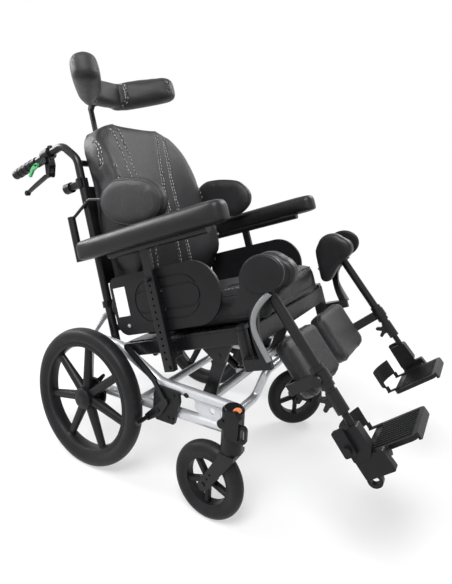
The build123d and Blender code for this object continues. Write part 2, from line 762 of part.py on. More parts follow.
with BuildPart() as arm_sockets:
    socket_base = top(seat, post_forward, -socket_y, socket_bottom)
    block(socket_base, socket_width, socket_depth, socket_top - socket_bottom, 3)
    block(socket_base, post_width + 2 * sliding, post_depth + 2 * sliding, 400, mode=Mode.SUBTRACT)
    hole_count = int((socket_top - socket_bottom - 30) / post_hole_pitch)
    for index in range(hole_count):
        height = socket_bottom + 34 + index * post_hole_pitch
        disc(side(seat, post_forward, -socket_y, height), post_hole_d, 30, mode=Mode.SUBTRACT)
    # foot on the rail, bolt and clamp screw
    block(side(seat, post_forward, -rail_face_y, rail_mid - 8), 34, 44, socket_face_y - rail_face_y, 2)
    disc(side(seat, post_forward + 4, -socket_y - socket_depth / 2, -2), 11, 5)
    disc(side(seat, post_forward, -socket_y - socket_depth / 2, socket_top - 8), 12, 12)
    # clips that hold the guard
    for height in (155, 205):
        clip = side(seat, post_forward, -guard_y - guard_thickness / 2, height)
        block(clip, 30, 12, socket_face_y - guard_y - guard_thickness / 2, 2)
    mirror(about=Plane.XZ)
write(arm_sockets, "arm_sockets")

guard_mid = (guard_bottom + guard_top) / 2
guard_height = guard_top - guard_bottom
with BuildPart() as skirt_guards:
    guard_face = side(seat, 0, -guard_y + guard_thickness / 2, 0)
    with BuildSketch(guard_face) as guard_outline:
        with BuildLine():
            nose = guard_front - guard_height / 2
            Line((guard_rear + 40, guard_bottom), (nose, guard_bottom))
            ThreePointArc((nose, guard_bottom), (guard_front, guard_mid), (nose, guard_top))
            Line((nose, guard_top), (guard_rear + 26, guard_top))
            ThreePointArc(
                (guard_rear + 26, guard_top),
                (guard_rear + 7.6, guard_top - 7.6),
                (guard_rear, guard_top - 26),
            )
            Line((guard_rear, guard_top - 26), (guard_rear, guard_bottom + 40))
            ThreePointArc(
                (guard_rear, guard_bottom + 40),
                (guard_rear + 11.7, guard_bottom + 11.7),
                (guard_rear + 40, guard_bottom),
            )
        make_face()
    extrude(amount=guard_thickness)
    # pressed channels that follow the rounded front
    for inset, depth in ((26, 2.2), (52, 2.2)):
        with BuildSketch(guard_face.offset(guard_thickness - depth)) as channel:
            with Locations((-95, guard_mid)):
                SlotOverall(230, guard_height - 2 * inset)
                SlotOverall(218, guard_height - 2 * inset - 12, mode=Mode.SUBTRACT)
        extrude(channel.sketch, amount=depth, mode=Mode.SUBTRACT)
    mirror(about=Plane.XZ)
write(skirt_guards, "skirt_guards")

with BuildPart() as arm_post:
    block(top(seat, post_forward, -socket_y, post_bottom), post_width, post_depth, arm_tube_n - post_bottom, 2)
    tube_run = [spot(seat, arm_tube_rear, -socket_y, arm_tube_n), spot(seat, arm_tube_front, -socket_y, arm_tube_n)]
    bar(tube_run, [], arm_tube_od)
    for forward in (-200, 44):
        rest = top(seat, forward, -socket_y, arm_tube_n)
        block(rest, 34, 22, arm_pad_bottom - arm_tube_n, 4)
write_both(arm_post, "arm_post")

with BuildPart() as arm_pad:
    pad_length = arm_pad_front - arm_pad_rear
    pad_mid = (arm_pad_front + arm_pad_rear) / 2
    pad_plane = top(seat, pad_mid, -arm_pad_y, arm_pad_bottom)
    block(pad_plane, pad_length, arm_pad_width, arm_pad_thickness, 24)
    fillet(arm_pad.faces().sort_by(seat_up)[-1].edges(), 14)
    fillet(arm_pad.faces().sort_by(seat_up)[0].edges(), 6)
write_both(arm_pad, "arm_pad")

# ==============================================================================================
# Gas springs
# ==============================================================================================
def spring_frame(start, end):
    """Frame on a spring's fixed eye: x runs to the moving eye and z points up from it."""
    along = (end - start).normalized()
    return Plane(origin=start, x_dir=along, z_dir=along.cross(Vector(0, 1, 0)))


def write_spring(name, start, end, cylinder_od, cylinder_length, rod_d, rod_length):
    """Write the cylinder and the rod of a gas spring that lies between two pins."""
    frame = spring_frame(start, end)
    length = (end - start).length
    eye_d = 2 * spring_pin_d
    with BuildPart() as cylinder:
        disc(side(frame, 0, spring_eye_width / 2, 0), eye_d, spring_eye_width)
        disc(front(frame, 0, 0, 0), 10, 16)
        disc(front(frame, 13, 0, 0), cylinder_od, cylinder_length - 13)
        fillet(cylinder.edges().filter_by(GeomType.CIRCLE).group_by(SortBy.RADIUS)[-1], 2)
        disc(side(frame, 0, spring_eye_width, 0), spring_pin_d + 2 * running, 2 * spring_eye_width, mode=Mode.SUBTRACT)
        disc(front(frame, 26, 0, 0), rod_d + 2 * sliding, cylinder_length, mode=Mode.SUBTRACT)
    write(cylinder, f"{name}_cylinder")
    with BuildPart() as rod:
        open_bore = spring_pin_d + 2 * spring_pin_play
        disc(side(frame, length, spring_eye_width / 2, 0), open_bore + 8, spring_eye_width)
        disc(front(frame, length - rod_length, 0, 0), rod_d, rod_length - open_bore / 2 - 1)
        disc(side(frame, length, spring_eye_width, 0), open_bore, 2 * spring_eye_width, mode=Mode.SUBTRACT)
    write(rod, f"{name}_rod")


write_spring(
    "tilt",
    spot(base, tilt_spring_forward, 0, tilt_spring_height),
    spot(seat, tilt_spring_s, 0, tilt_spring_n),
    tilt_cylinder_od,
    tilt_cylinder_length,
    tilt_rod_d,
    tilt_rod_length,
)
write_spring(
    "recline",
    spot(seat, recline_spring_s, -recline_spring_y, recline_spring_n),
    spot(seat, recline_arm_s, -recline_spring_y, recline_arm_n),
    recline_cylinder_od,
    recline_cylinder_length,
    recline_rod_d,
    recline_rod_length,
)

# ==============================================================================================
# Back, handles, headrest and trunk supports
# ==============================================================================================
handle_points = [(back_pivot_s, 32), (back_pivot_s, 655), (back_pivot_s - 54, 716), (handle_end_s, 694)]
grip_slope = math.degrees(math.atan2(22, back_pivot_s - 54 - handle_end_s))
receiver_n = 742.0

with BuildPart() as back_frame:
    for hand in (-1, 1):
        run = [spot(seat, s, hand * back_tube_y, n) for s, n in handle_points]
        bar(run, [52, 44], back_tube_od)
    disc(side(seat, back_pivot_s, back_tube_y, back_pivot_n), torque_tube_od, 2 * back_tube_y)
    for height, diameter in ((110, 20), (640, 20)):
        disc(side(seat, back_pivot_s, back_tube_y, height), diameter, 2 * back_tube_y)
    panel_mid = (back_panel_bottom + back_panel_top) / 2
    panel = front(seat, back_panel_s, 0, panel_mid)
    block(panel, 2 * back_tube_y, back_panel_top - back_panel_bottom, back_panel_thickness, 10)
    # lever that the recline spring pushes on
    for y in (spring_lug_offset + spring_lug_thickness, -spring_lug_offset):
        lever_ends = [
            (back_pivot_s, back_pivot_n, torque_tube_od + 8),
            (recline_arm_s, recline_arm_n, 2.2 * spring_pin_d),
        ]
        link(side(seat, 0, y - recline_spring_y, 0), lever_ends, spring_lug_thickness)
    lever_pin_y = spring_lug_offset + spring_lug_thickness
    disc(side(seat, recline_arm_s, lever_pin_y - recline_spring_y, recline_arm_n), spring_pin_d, 2 * lever_pin_y)
    # headrest receiver on the top cross bar
    receiver_ends = [(back_pivot_s, 640, 24), (stem_s + 14, receiver_n - 12, 22)]
    link(side(seat, 0, 8, 0), receiver_ends, 16)
    block(top(seat, stem_s, 0, receiver_n - 34), stem_depth + 16, stem_width + 14, 46, 4)
    block(
        top(seat, stem_s, 0, receiver_n - 60),
        stem_depth + 2 * sliding,
        stem_width + 2 * sliding,
        120,
        mode=Mode.SUBTRACT,
    )
    # brackets with the pins that the trunk supports swing on
    for hand in (-1, 1):
        bracket_ends = [(back_pivot_s, hand * back_tube_y, back_tube_od), (lateral_post_s, hand * lateral_post_y, 24)]
        link(top(seat, 0, 0, lateral_low - 16), bracket_ends, 16 - gap)
        post = top(seat, lateral_post_s, hand * lateral_post_y, lateral_low - 16)
        disc(post, lateral_post_d, lateral_high - lateral_low + 12)
    # bores for the hinge pins
    disc(side(seat, back_pivot_s, 300, back_pivot_n), back_pin_d + 2 * running, 600, mode=Mode.SUBTRACT)
write(back_frame, "back_frame")


def back_section(height, tip_s, half_width, front_s, rear_s):
    """Plan outline of the back cushion at one height: a flat middle with side wings."""
    wing = 26
    with BuildSketch(top(seat, 0, 0, height)) as section:
        with BuildLine():
            Line((rear_s, half_width - 14), (rear_s, 14 - half_width))
            ThreePointArc((rear_s, 14 - half_width), (rear_s + 4, 4 - half_width), (rear_s + 14, -half_width))
            Line((rear_s + 14, -half_width), (tip_s - 12, -half_width))
            ThreePointArc(
                (tip_s - 12, -half_width),
                (tip_s, wing / 2 - half_width),
                (tip_s - 12, wing - half_width),
            )
            ThreePointArc((tip_s - 12, wing - half_width), (front_s, 0), (tip_s - 12, half_width - wing))
            ThreePointArc(
                (tip_s - 12, half_width - wing),
                (tip_s, half_width - wing / 2),
                (tip_s - 12, half_width),
            )
            Line((tip_s - 12, half_width), (rear_s + 14, half_width))
            ThreePointArc((rear_s + 14, half_width), (rear_s + 4, half_width - 4), (rear_s, half_width - 14))
        make_face()
    return section.sketch


with BuildPart() as back_cushion:
    sections = [
        back_section(back_bottom_n, -280, 206, back_rear_s + 44, back_rear_s),
        back_section(250, -214, 219, back_rear_s + 54, back_rear_s),
        back_section(360, -190, 222, back_rear_s + 56, back_rear_s),
        back_section(500, -216, 222, back_rear_s + 54, back_rear_s),
        back_section(620, -240, 222, back_rear_s + 52, back_rear_s),
        back_section(705, -268, 218, back_rear_s + 50, back_rear_s),
        back_section(758, -284, 172, back_rear_s + 48, back_rear_s),
        back_section(back_top_n, -288, 118, back_rear_s + 46, back_rear_s),
    ]
    loft(sections=sections)
write(back_cushion, "back_cushion")

grip_start = back_pivot_s - 54 - 44
with BuildPart() as push_grips:
    for hand in (-1, 1):
        near = spot(seat, handle_points[2][0], hand * back_tube_y, handle_points[2][1])
        far = spot(seat, handle_points[3][0], hand * back_tube_y, handle_points[3][1])
        along = (far - near).normalized()
        grip_plane = Plane(origin=far + along * 4, x_dir=(0, 1, 0), z_dir=along * -1)
        disc(grip_plane, grip_od, grip_length)
        for step in (18, 42, 66, 90):
            disc(grip_plane.offset(step), grip_od + 3, 12)
        disc(grip_plane.offset(4), back_tube_od, grip_length, mode=Mode.SUBTRACT)
write(push_grips, "push_grips")

lever_pivot = (-505.0, 642.0)
lever_pin_d = 6.0
clamp_s = -494.0
clamp_n = 711.0
trigger_pivot = (-530.0, 682.0)
trigger_y = back_tube_y + 26
with BuildPart() as handle_clamps:
    for hand in (-1, 1):
        y = hand * back_tube_y
        near = spot(seat, handle_points[2][0], y, handle_points[2][1])
        far = spot(seat, handle_points[3][0], y, handle_points[3][1])
        along = (far - near).normalized()
        clamp_plane = Plane(origin=near + along * 60, x_dir=(0, 1, 0), z_dir=along)
        disc(clamp_plane, 42, 34)
        # stub that holds the brake lever and the cable ends
        stub = top(seat, clamp_s - 2, y, 668)
        block(stub, 30, 24, 34, 5)
        for edge in (12, -7):
            cheek = side(seat, 0, y + edge, 0)
            link(cheek, [(*lever_pivot, 16), (clamp_s - 2, 674, 24)], 5)
        disc(side(seat, lever_pivot[0], y + 12, lever_pivot[1]), lever_pin_d, 24)
        disc(top(seat, clamp_s + 14, y, 700), 16, 34)
        # bracket and pin of the trigger, outside the stub
        bracket_y = hand * (trigger_y - 7)
        disc(side(seat, clamp_s - 4, bracket_y - hand * 5.5 + 4.5, 688), 16, 9)
        link(side(seat, 0, bracket_y + 2, 0), [(clamp_s - 4, 688, 22), (*trigger_pivot, 14)], 4)
        disc(side(seat, trigger_pivot[0], hand * trigger_y + 8, trigger_pivot[1]), lever_pin_d, 16)
        # clamp and knob on the upright tube
        disc(top(seat, back_pivot_s, y, 560), back_tube_od + 12, 30)
        block(front(seat, back_pivot_s - 50, y, 575), 20, 22, 50, 4)
        disc(front(seat, back_pivot_s - 76, y, 575), 34, 26)
        disc(top(seat, back_pivot_s, y, 180), back_tube_od + 10, 20)
        # the clamps are open towards the cushion, and the tube passes through all of it
        clear = front(seat, back_pivot_s + back_tube_od / 2 - 2, y, 400)
        block(clear, 60, 560, 40, mode=Mode.SUBTRACT)
        disc(top(seat, back_pivot_s, y, 100), back_tube_od, 540, mode=Mode.SUBTRACT)
        disc(clamp_plane.offset(-20), back_tube_od, 90, mode=Mode.SUBTRACT)
write(handle_clamps, "handle_clamps")

with BuildPart() as hand_brake_lever:
    y = -back_tube_y
    blade = side(seat, 0, y + 5, 0)
    disc(side(seat, lever_pivot[0], y + 5, lever_pivot[1]), 14, 10)
    root_s, root_n = lever_pivot
    blade_corners = [
        (root_s + 6, root_n + 4),
        (root_s - 24, root_n + 8),
        (-586, 637),
        (-636, 623),
        (-636, 613),
        (-584, 625),
        (root_s - 24, root_n - 5),
        (root_s + 6, root_n - 5),
    ]
    plate(blade, blade_corners, 10, 2)
    # round end
    disc(side(seat, -640, y + 8, 617), 13, 16)
    disc(side(seat, -640, y + 5.5, 617), 19, 11)
    disc(side(seat, lever_pivot[0], y + 20, lever_pivot[1]), lever_pin_d + 2 * running, 40, mode=Mode.SUBTRACT)
write_both(hand_brake_lever, "hand_brake_lever")

for hand, name in ((-1, "tilt_trigger"), (1, "recline_trigger")):
    y = hand * trigger_y
    with BuildPart() as trigger:
        blade = side(seat, 0, y + 4, 0)
        link(blade, [(trigger_pivot[0], trigger_pivot[1], 16), (-552, 676, 12)], 8)
        link(blade, [(-552, 676, 12), (-572, 658, 9)], 8)
        disc(side(seat, trigger_pivot[0], y + 10, trigger_pivot[1]), lever_pin_d + 2 * running, 20, mode=Mode.SUBTRACT)
    write(trigger, name)

with BuildPart() as headrest_stem:
    block(top(seat, stem_s, 0, stem_bottom), stem_depth, stem_width, stem_top - stem_bottom - 12, 2)
    link(side(seat, 0, 9, 0), [(stem_s, stem_top - 16, stem_depth), (head_pivot_s, head_pivot_n, 20)], 18)
    disc(side(seat, head_pivot_s, 22, head_pivot_n), 10, 44)
write(headrest_stem, "headrest_stem")

with BuildPart() as headrest_pad:
    with BuildSketch(top(seat, 0, 0, head_bottom)):
        with BuildLine():
            Line((head_rear_s, head_panel_half), (head_rear_s, -head_panel_half))
            Line((head_rear_s, -head_panel_half), (head_wing_s - 26, -head_half_width))
            ThreePointArc(
                (head_wing_s - 26, -head_half_width),
                (head_wing_s, -head_half_width + 6),
                (head_wing_s - 8, -head_half_width + 34),
            )
            Line((head_wing_s - 8, -head_half_width + 34), (head_front_s, -head_panel_half))
            Line((head_front_s, -head_panel_half), (head_front_s, head_panel_half))
            Line((head_front_s, head_panel_half), (head_wing_s - 8, head_half_width - 34))
            ThreePointArc(
                (head_wing_s - 8, head_half_width - 34),
                (head_wing_s, head_half_width - 6),
                (head_wing_s - 26, head_half_width),
            )
            Line((head_wing_s - 26, head_half_width), (head_rear_s, head_panel_half))
        make_face()
    extrude(amount=head_top - head_bottom)
    with BuildSketch(front(seat, head_rear_s - 5, 0, (head_bottom + head_top) / 2)):
        with BuildLine():
            ThreePointArc((-head_half_width - 4, 34), (0, 50), (head_half_width + 4, 34))
            ThreePointArc((head_half_width + 4, 34), (head_half_width + 12, 0), (head_half_width + 4, -34))
            ThreePointArc((head_half_width + 4, -34), (0, -50), (-head_half_width - 4, -34))
            ThreePointArc((-head_half_width - 4, -34), (-head_half_width - 12, 0), (-head_half_width - 4, 34))
        make_face()
    extrude(amount=260, mode=Mode.INTERSECT)
with BuildPart() as headrest_mount:
    add(headrest_pad.part)
    for y in (-17, 11):
        fork = side(seat, 0, y + 6, 0)
        link(fork, [(head_pivot_s, head_pivot_n, 24), (head_rear_s - 4, head_pivot_n, 30)], 6)
    block(front(seat, head_rear_s - 6, 0, head_pivot_n), 60, 60, 6, 8)
    disc(side(seat, head_pivot_s, 40, head_pivot_n), 10 + 2 * running, 80, mode=Mode.SUBTRACT)
write(headrest_mount, "headrest_pad")

lateral_frame = Plane(
    origin=spot(seat, lateral_pad_s, -lateral_pad_inner_y, lateral_pad_n),
    x_dir=(math.cos(lean + math.radians(lateral_pad_turn)), 0, math.sin(lean + math.radians(lateral_pad_turn))),
    z_dir=(-math.sin(lean + math.radians(lateral_pad_turn)), 0, math.cos(lean + math.radians(lateral_pad_turn))),
)
pad_axis = lateral_frame.x_dir
pad_middle = lateral_frame.origin + Vector(0, -lateral_pad_thickness / 2, 0)
bar_reach = lateral_pad_length / 2 - 40
lateral_run = [
    spot(seat, lateral_post_s, 0, lateral_high - 8) + Vector(0, pad_middle.Y, 0),
    pad_middle - pad_axis * (bar_reach + 105),
    pad_middle - pad_axis * bar_reach,
]
with BuildPart() as lateral_bar:
    y = -lateral_post_y
    disc(top(seat, lateral_post_s, y, lateral_low), lateral_post_d + 12, lateral_high - lateral_low)
    bar(lateral_run, [24], lateral_bar_od)
    disc(top(seat, lateral_post_s, y, 300), lateral_post_d + 2 * running, 300, mode=Mode.SUBTRACT)
write_both(lateral_bar, "lateral_bar")

with BuildPart() as lateral_pad:
    with BuildSketch(Plane(origin=lateral_frame.origin, x_dir=lateral_frame.x_dir, z_dir=(0, 1, 0))):
        RectangleRounded(lateral_pad_length, lateral_pad_height, 46)
    extrude(amount=-lateral_pad_thickness)
    fillet(lateral_pad.faces().sort_by(Axis.Y)[-1].edges(), 12)
    fillet(lateral_pad.faces().sort_by(Axis.Y)[0].edges(), 8)
    # hole in the rear edge that the bar plugs into
    bar(lateral_run[1:], [], lateral_bar_od, mode=Mode.SUBTRACT)
write_both(lateral_pad, "lateral_pad")

# ==============================================================================================
# Legrests
# ==============================================================================================
plate_outer_y = leg_y + knuckle_width / 2 + gap + hanger_plate_thickness
with BuildPart() as leg_hanger:
    sleeve_bottom = hanger_bottom + 10 + gap
    sleeve_height = hanger_top - hanger_bottom - 20 - 2 * gap
    disc(top(seat, hanger_pin_s, -hanger_pin_y, sleeve_bottom), hanger_sleeve_od, sleeve_height)
    outer_face = side(seat, 0, hanger_plate_thickness - plate_outer_y, 0)
    # foot that joins the sleeve to the outer plate
    foot_width = plate_outer_y - hanger_pin_y
    plate(
        top(seat, 0, 0, sleeve_bottom),
        [
            (hanger_pin_s - 6, -hanger_pin_y),
            (hanger_pin_s + 12, -hanger_pin_y),
            (192, hanger_plate_thickness - plate_outer_y),
            (192, -plate_outer_y),
            (hanger_pin_s + 10, -plate_outer_y),
        ],
        26,
    )
    # curved cast arm up to the knee
    with BuildSketch(outer_face) as cast_arm:
        with BuildLine():
            ThreePointArc((174, -18), (160, 68), (190, 170))
            Line((190, 170), (216, 158))
            ThreePointArc((216, 158), (180, 74), (192, -18))
            Line((192, -18), (174, -18))
        make_face()
    extrude(cast_arm.sketch, amount=hanger_plate_thickness)
    # cover that wraps the knee joint
    with BuildSketch(outer_face) as cover:
        with Locations((knee_forward, knee_up)):
            Circle(knee_disc_d / 2)
        with BuildLine():
            ThreePointArc((knee_forward - 44, knee_up + 6), (146, 152), (118, 128))
            Line((118, 128), (126, 112))
            ThreePointArc((126, 112), (164, 122), (knee_forward + 6, knee_up - 44))
            Line((knee_forward + 6, knee_up - 44), (knee_forward - 44, knee_up + 6))
        make_face()
    extrude(cover.sketch, amount=hanger_plate_thickness)
    disc(side(seat, knee_forward, -plate_outer_y, knee_up), 54, 3)
    pin_start = side(seat, knee_forward, -leg_y + knuckle_width / 2, knee_up)
    disc(pin_start, knee_pin_d, plate_outer_y - leg_y + knuckle_width / 2)
    disc(top(seat, hanger_pin_s, -hanger_pin_y, -60), hanger_pin_d + 2 * running, 200, mode=Mode.SUBTRACT)
write_both(leg_hanger, "leg_hanger")

knee_face_y = leg_y - knuckle_width / 2
with BuildPart() as knee_pad:
    pad_base = side(seat, 0, -knee_face_y + knee_pad_thickness, 0)
    with BuildSketch(pad_base) as pad_outline:
        with BuildLine():
            ThreePointArc((176, 214), (210, 238), (248, 218))
            ThreePointArc((248, 218), (268, 178), (236, 144))
            Line((236, 144), (188, 92))
            ThreePointArc((188, 92), (168, 90), (160, 108))
            Line((160, 108), (162, 176))
            ThreePointArc((162, 176), (165, 196), (176, 214))
        make_face()
    extrude(pad_outline.sketch, amount=knee_pad_thickness - 8)
    fillet(knee_pad.faces().sort_by(Axis.Y)[-1].edges(), 9)
    disc(side(seat, knee_forward + 4, -knee_face_y + 8, knee_up - 2), 74, 8)
write_both(knee_pad, "knee_pad")

with BuildPart() as leg_tube:
    disc(side(leg, 0, -leg_y + knuckle_width / 2, 0), knuckle_d, knuckle_width)
    disc(top(leg, 0, -leg_y, -leg_tube_end), leg_tube_od, leg_tube_end - 20)
    # stop rings either side of the calf clamp
    for u in (calf_clamp_u - calf_clamp_width / 2 - gap - 12, calf_clamp_u + calf_clamp_width / 2 + gap):
        disc(top(leg, 0, -leg_y, -u - 12), leg_tube_od + 8, 12)
    # clamp sleeve with its wing knob
    disc(top(leg, 0, -leg_y, -sleeve_end), sleeve_od, sleeve_end - leg_tube_end + 2)
    block(front(leg, -sleeve_od / 2 - 10, -leg_y, -302), 16, 24, 14, 4)
    link(side(leg, 0, -leg_y + 5, 0), [(-20, -298, 12), (-34, -290, 10)], 10)
    link(side(leg, 0, -leg_y + 5, 0), [(-20, -306, 12), (-34, -314, 10)], 10)
    disc(side(leg, 0, -leg_y + 60, 0), knee_pin_d + 2 * running, 120, mode=Mode.SUBTRACT)
    tube_bore = top(leg, 0, -leg_y, -sleeve_end - 10)
    disc(tube_bore, foot_tube_d + 2 * sliding, sleeve_end - foot_tube_top + 40, mode=Mode.SUBTRACT)
write_both(leg_tube, "leg_tube")

calf_back_v = calf_pad_front_v - calf_pad_thickness
calf_mid_y = (calf_pad_inner_y + calf_pad_outer_y) / 2
with BuildPart() as calf_arm:
    clamp_plane = top(leg, 0, -leg_y, -calf_clamp_u - calf_clamp_width / 2)
    disc(clamp_plane, calf_clamp_od, calf_clamp_width)
    arm_plane = top(leg, 0, 0, -calf_clamp_u - calf_clamp_width / 2)
    far_v = calf_back_v - gap - calf_arm_thickness
    arm_corners = [
        (-6, -leg_y + 12),
        (-6, -leg_y - 2),
        (far_v + 8, -leg_y + 22),
        (far_v, -leg_y + 34),
        (far_v, -calf_mid_y + 20),
        (far_v + calf_arm_thickness, -calf_mid_y + 20),
        (far_v + calf_arm_thickness, -leg_y + 38),
        (far_v + 14, -leg_y + 30),
    ]
    plate(arm_plane, arm_corners, calf_clamp_width)
    # clamp screw with its knob, outside the tube
    disc(side(leg, -4, -leg_y - 12, -calf_clamp_u), 10, 18)
    disc(side(leg, -4, -leg_y - 22, -calf_clamp_u), 24, 9)
    # plate that carries the pad
    pad_back = front(leg, far_v + calf_arm_thickness, -calf_mid_y, -calf_pad_top_u - calf_pad_height / 2)
    block(pad_back.offset(-4), 110, 96, 4, 14)
    disc(top(leg, 0, -leg_y, -400), leg_tube_od + 2 * running, 400, mode=Mode.SUBTRACT)
write_both(calf_arm, "calf_arm")

with BuildPart() as calf_pad:
    pad_width = calf_pad_outer_y - calf_pad_inner_y
    pad_centre_u = calf_pad_top_u + calf_pad_height / 2
    with BuildSketch(top(leg, 0, 0, -calf_pad_top_u - calf_pad_height)):
        with BuildLine():
            Line((calf_back_v, -calf_pad_outer_y + 16), (calf_back_v, -calf_pad_inner_y - 16))
            ThreePointArc(
                (calf_back_v, -calf_pad_inner_y - 16),
                (calf_back_v + 14, -calf_pad_inner_y - 2),
                (calf_pad_front_v - 4, -calf_pad_inner_y - 8),
            )
            ThreePointArc(
                (calf_pad_front_v - 4, -calf_pad_inner_y - 8),
                (calf_pad_front_v - 12, -calf_mid_y),
                (calf_pad_front_v - 4, -calf_pad_outer_y + 8),
            )
            ThreePointArc(
                (calf_pad_front_v - 4, -calf_pad_outer_y + 8),
                (calf_back_v + 14, -calf_pad_outer_y + 2),
                (calf_back_v, -calf_pad_outer_y + 16),
            )
        make_face()
    extrude(amount=calf_pad_height)
    with BuildSketch(front(leg, calf_back_v - 5, -calf_mid_y, -pad_centre_u)):
        RectangleRounded(pad_width, calf_pad_height, 34)
    extrude(amount=calf_pad_thickness + 20, mode=Mode.INTERSECT)
write_both(calf_pad, "calf_pad")

foot_housing_top_z = -foot_housing_top
hinge_z = -foot_hinge_u
with BuildPart() as foot_tube:
    disc(top(leg, 0, -leg_y, -foot_housing_top - 10), foot_tube_d, foot_housing_top + 10 - foot_tube_top)
    plate(
        side(leg, 0, -leg_y + 13, 0),
        [(-34, foot_housing_top_z), (14, foot_housing_top_z), (16, -414), (4, -430), (-36, -430)],
        26,
        6,
    )
    # side block with its knob
    block(side(leg, -28, -leg_y - 13, -384), 30, 58, 10, 5)
    disc(side(leg, -28, -leg_y - 23, -398), 18, 8)
    # arm down to the plate hinge, with the open end below it
    plate(side(leg, 0, -leg_y + 9, 0), [(-36, -424), (34, -424), (38, -470), (-34, -470)], 18, 5)
    with BuildSketch(side(leg, 0, -leg_y + 9, 0)) as open_end:
        with Locations((-20, -476)):
            SlotOverall(34, 30)
            SlotOverall(20, 14, mode=Mode.SUBTRACT)
    extrude(open_end.sketch, amount=14)
    # hinge knuckles and pin of the footplate
    for v in (-30, 20):
        barrel = front(leg, v, -foot_hinge_y, hinge_z)
        disc(barrel, foot_hinge_d + 8, 12)
        block(front(leg, v, -foot_hinge_y - 11, hinge_z), 22, 12, 12)
    disc(front(leg, -30, -foot_hinge_y, hinge_z), foot_hinge_d, 62)
write_both(foot_tube, "foot_tube")

plate_top_z = -foot_plate_top_u
with BuildPart() as footplate:
    plate_width = foot_hinge_y - 12 - foot_plate_inner_y
    plate_mid_y = -(foot_plate_inner_y + plate_width / 2)
    plate_mid_v = (foot_plate_heel_v + foot_plate_toe_v) / 2
    plate_plane = top(leg, plate_mid_v, plate_mid_y, plate_top_z - foot_plate_thickness)
    block(plate_plane, foot_plate_toe_v - foot_plate_heel_v, plate_width, foot_plate_thickness, 16)
    lip = front(leg, foot_plate_toe_v - 6, plate_mid_y, plate_top_z - foot_plate_thickness / 2 - 4)
    block(lip, plate_width - 24, foot_plate_thickness + 8, 6, 4)
    # grip ribs along the plate
    rib_count = 11
    rib_pitch = (plate_width - 30) / (rib_count - 1)
    for index in range(rib_count):
        rib_y = plate_mid_y + (index - (rib_count - 1) / 2) * rib_pitch
        block(top(leg, plate_mid_v + 4, rib_y, plate_top_z), 96, 3, 1.6)
    # hinge barrel between the knuckles
    barrel_start = -30 + 12 + gap
    barrel_length = 50 - 12 - 2 * gap
    disc(front(leg, barrel_start, -foot_hinge_y, hinge_z), foot_hinge_d + 8, barrel_length)
    block(front(leg, barrel_start, -foot_hinge_y + 10, hinge_z + 1), 20, 7, barrel_length)
    disc(front(leg, -60, -foot_hinge_y, hinge_z), foot_hinge_d + 2 * running, 120, mode=Mode.SUBTRACT)
write_both(footplate, "footplate")

strap_height = 44.0
strap_thickness = 3.0
strap_front_v = -50.0
strap_rear_v = -80.0
strap_ends = (-foot_hinge_y + 22, -foot_plate_inner_y - 12)
with BuildPart() as heel_strap:
    half = strap_thickness / 2
    with BuildSketch(top(leg, 0, 0, plate_top_z + 14)) as loop:
        with BuildLine():
            ThreePointArc(
                (strap_front_v, strap_ends[0] - half),
                (strap_rear_v - half, plate_mid_y),
                (strap_front_v, strap_ends[1] + half),
            )
            Line((strap_front_v, strap_ends[1] + half), (strap_front_v, strap_ends[1] - half))
            ThreePointArc(
                (strap_front_v, strap_ends[1] - half),
                (strap_rear_v + half, plate_mid_y),
                (strap_front_v, strap_ends[0] + half),
            )
            Line((strap_front_v, strap_ends[0] + half), (strap_front_v, strap_ends[0] - half))
        make_face()
    extrude(amount=strap_height)
    # posts on tabs that lie on the plate
    for y in (strap_ends[0] + 3, strap_ends[1] - 3):
        block(top(leg, strap_front_v, y, plate_top_z), 10, 5, 16)
        block(top(leg, -36, y, plate_top_z), 38, 12, 3)
write_both(heel_strap, "heel_strap")
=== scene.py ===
import json
import math
from functools import partial

import bpy
from mathutils import Matrix, Vector
from mathutils.bvhtree import BVHTree
from mathutils.kdtree import KDTree


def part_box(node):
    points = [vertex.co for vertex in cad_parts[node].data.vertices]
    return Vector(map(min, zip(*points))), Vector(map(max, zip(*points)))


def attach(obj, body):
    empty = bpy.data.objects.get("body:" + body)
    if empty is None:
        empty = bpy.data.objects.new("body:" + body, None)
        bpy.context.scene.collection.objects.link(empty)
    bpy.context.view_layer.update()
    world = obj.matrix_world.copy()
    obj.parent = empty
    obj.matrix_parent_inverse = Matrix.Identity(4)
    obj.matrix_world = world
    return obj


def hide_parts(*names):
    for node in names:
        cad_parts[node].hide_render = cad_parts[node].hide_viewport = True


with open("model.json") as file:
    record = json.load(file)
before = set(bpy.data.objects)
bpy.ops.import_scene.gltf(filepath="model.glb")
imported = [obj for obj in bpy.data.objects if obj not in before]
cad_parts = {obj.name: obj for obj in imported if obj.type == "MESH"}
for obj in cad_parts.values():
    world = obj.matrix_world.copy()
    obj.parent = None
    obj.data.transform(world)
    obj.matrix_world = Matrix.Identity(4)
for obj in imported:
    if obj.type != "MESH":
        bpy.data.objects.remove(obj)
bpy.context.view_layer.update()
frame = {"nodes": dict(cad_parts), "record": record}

bl_info = {
    "name": "Tilt in space wheelchair",
    "version": (1, 0, 0),
    "blender": (4, 5, 0),
    "location": "3D View > Sidebar > Wheelchair",
    "description": "Dresses the packed wheelchair with upholstery, finishes, fittings and a stage",
    "category": "Object",
}


def leaning(lean):
    """The forward and upward axes of a frame that leans about Y."""
    along = Vector((math.cos(lean), 0.0, math.sin(lean)))
    rise = Vector((-math.sin(lean), 0.0, math.cos(lean)))
    return along, rise


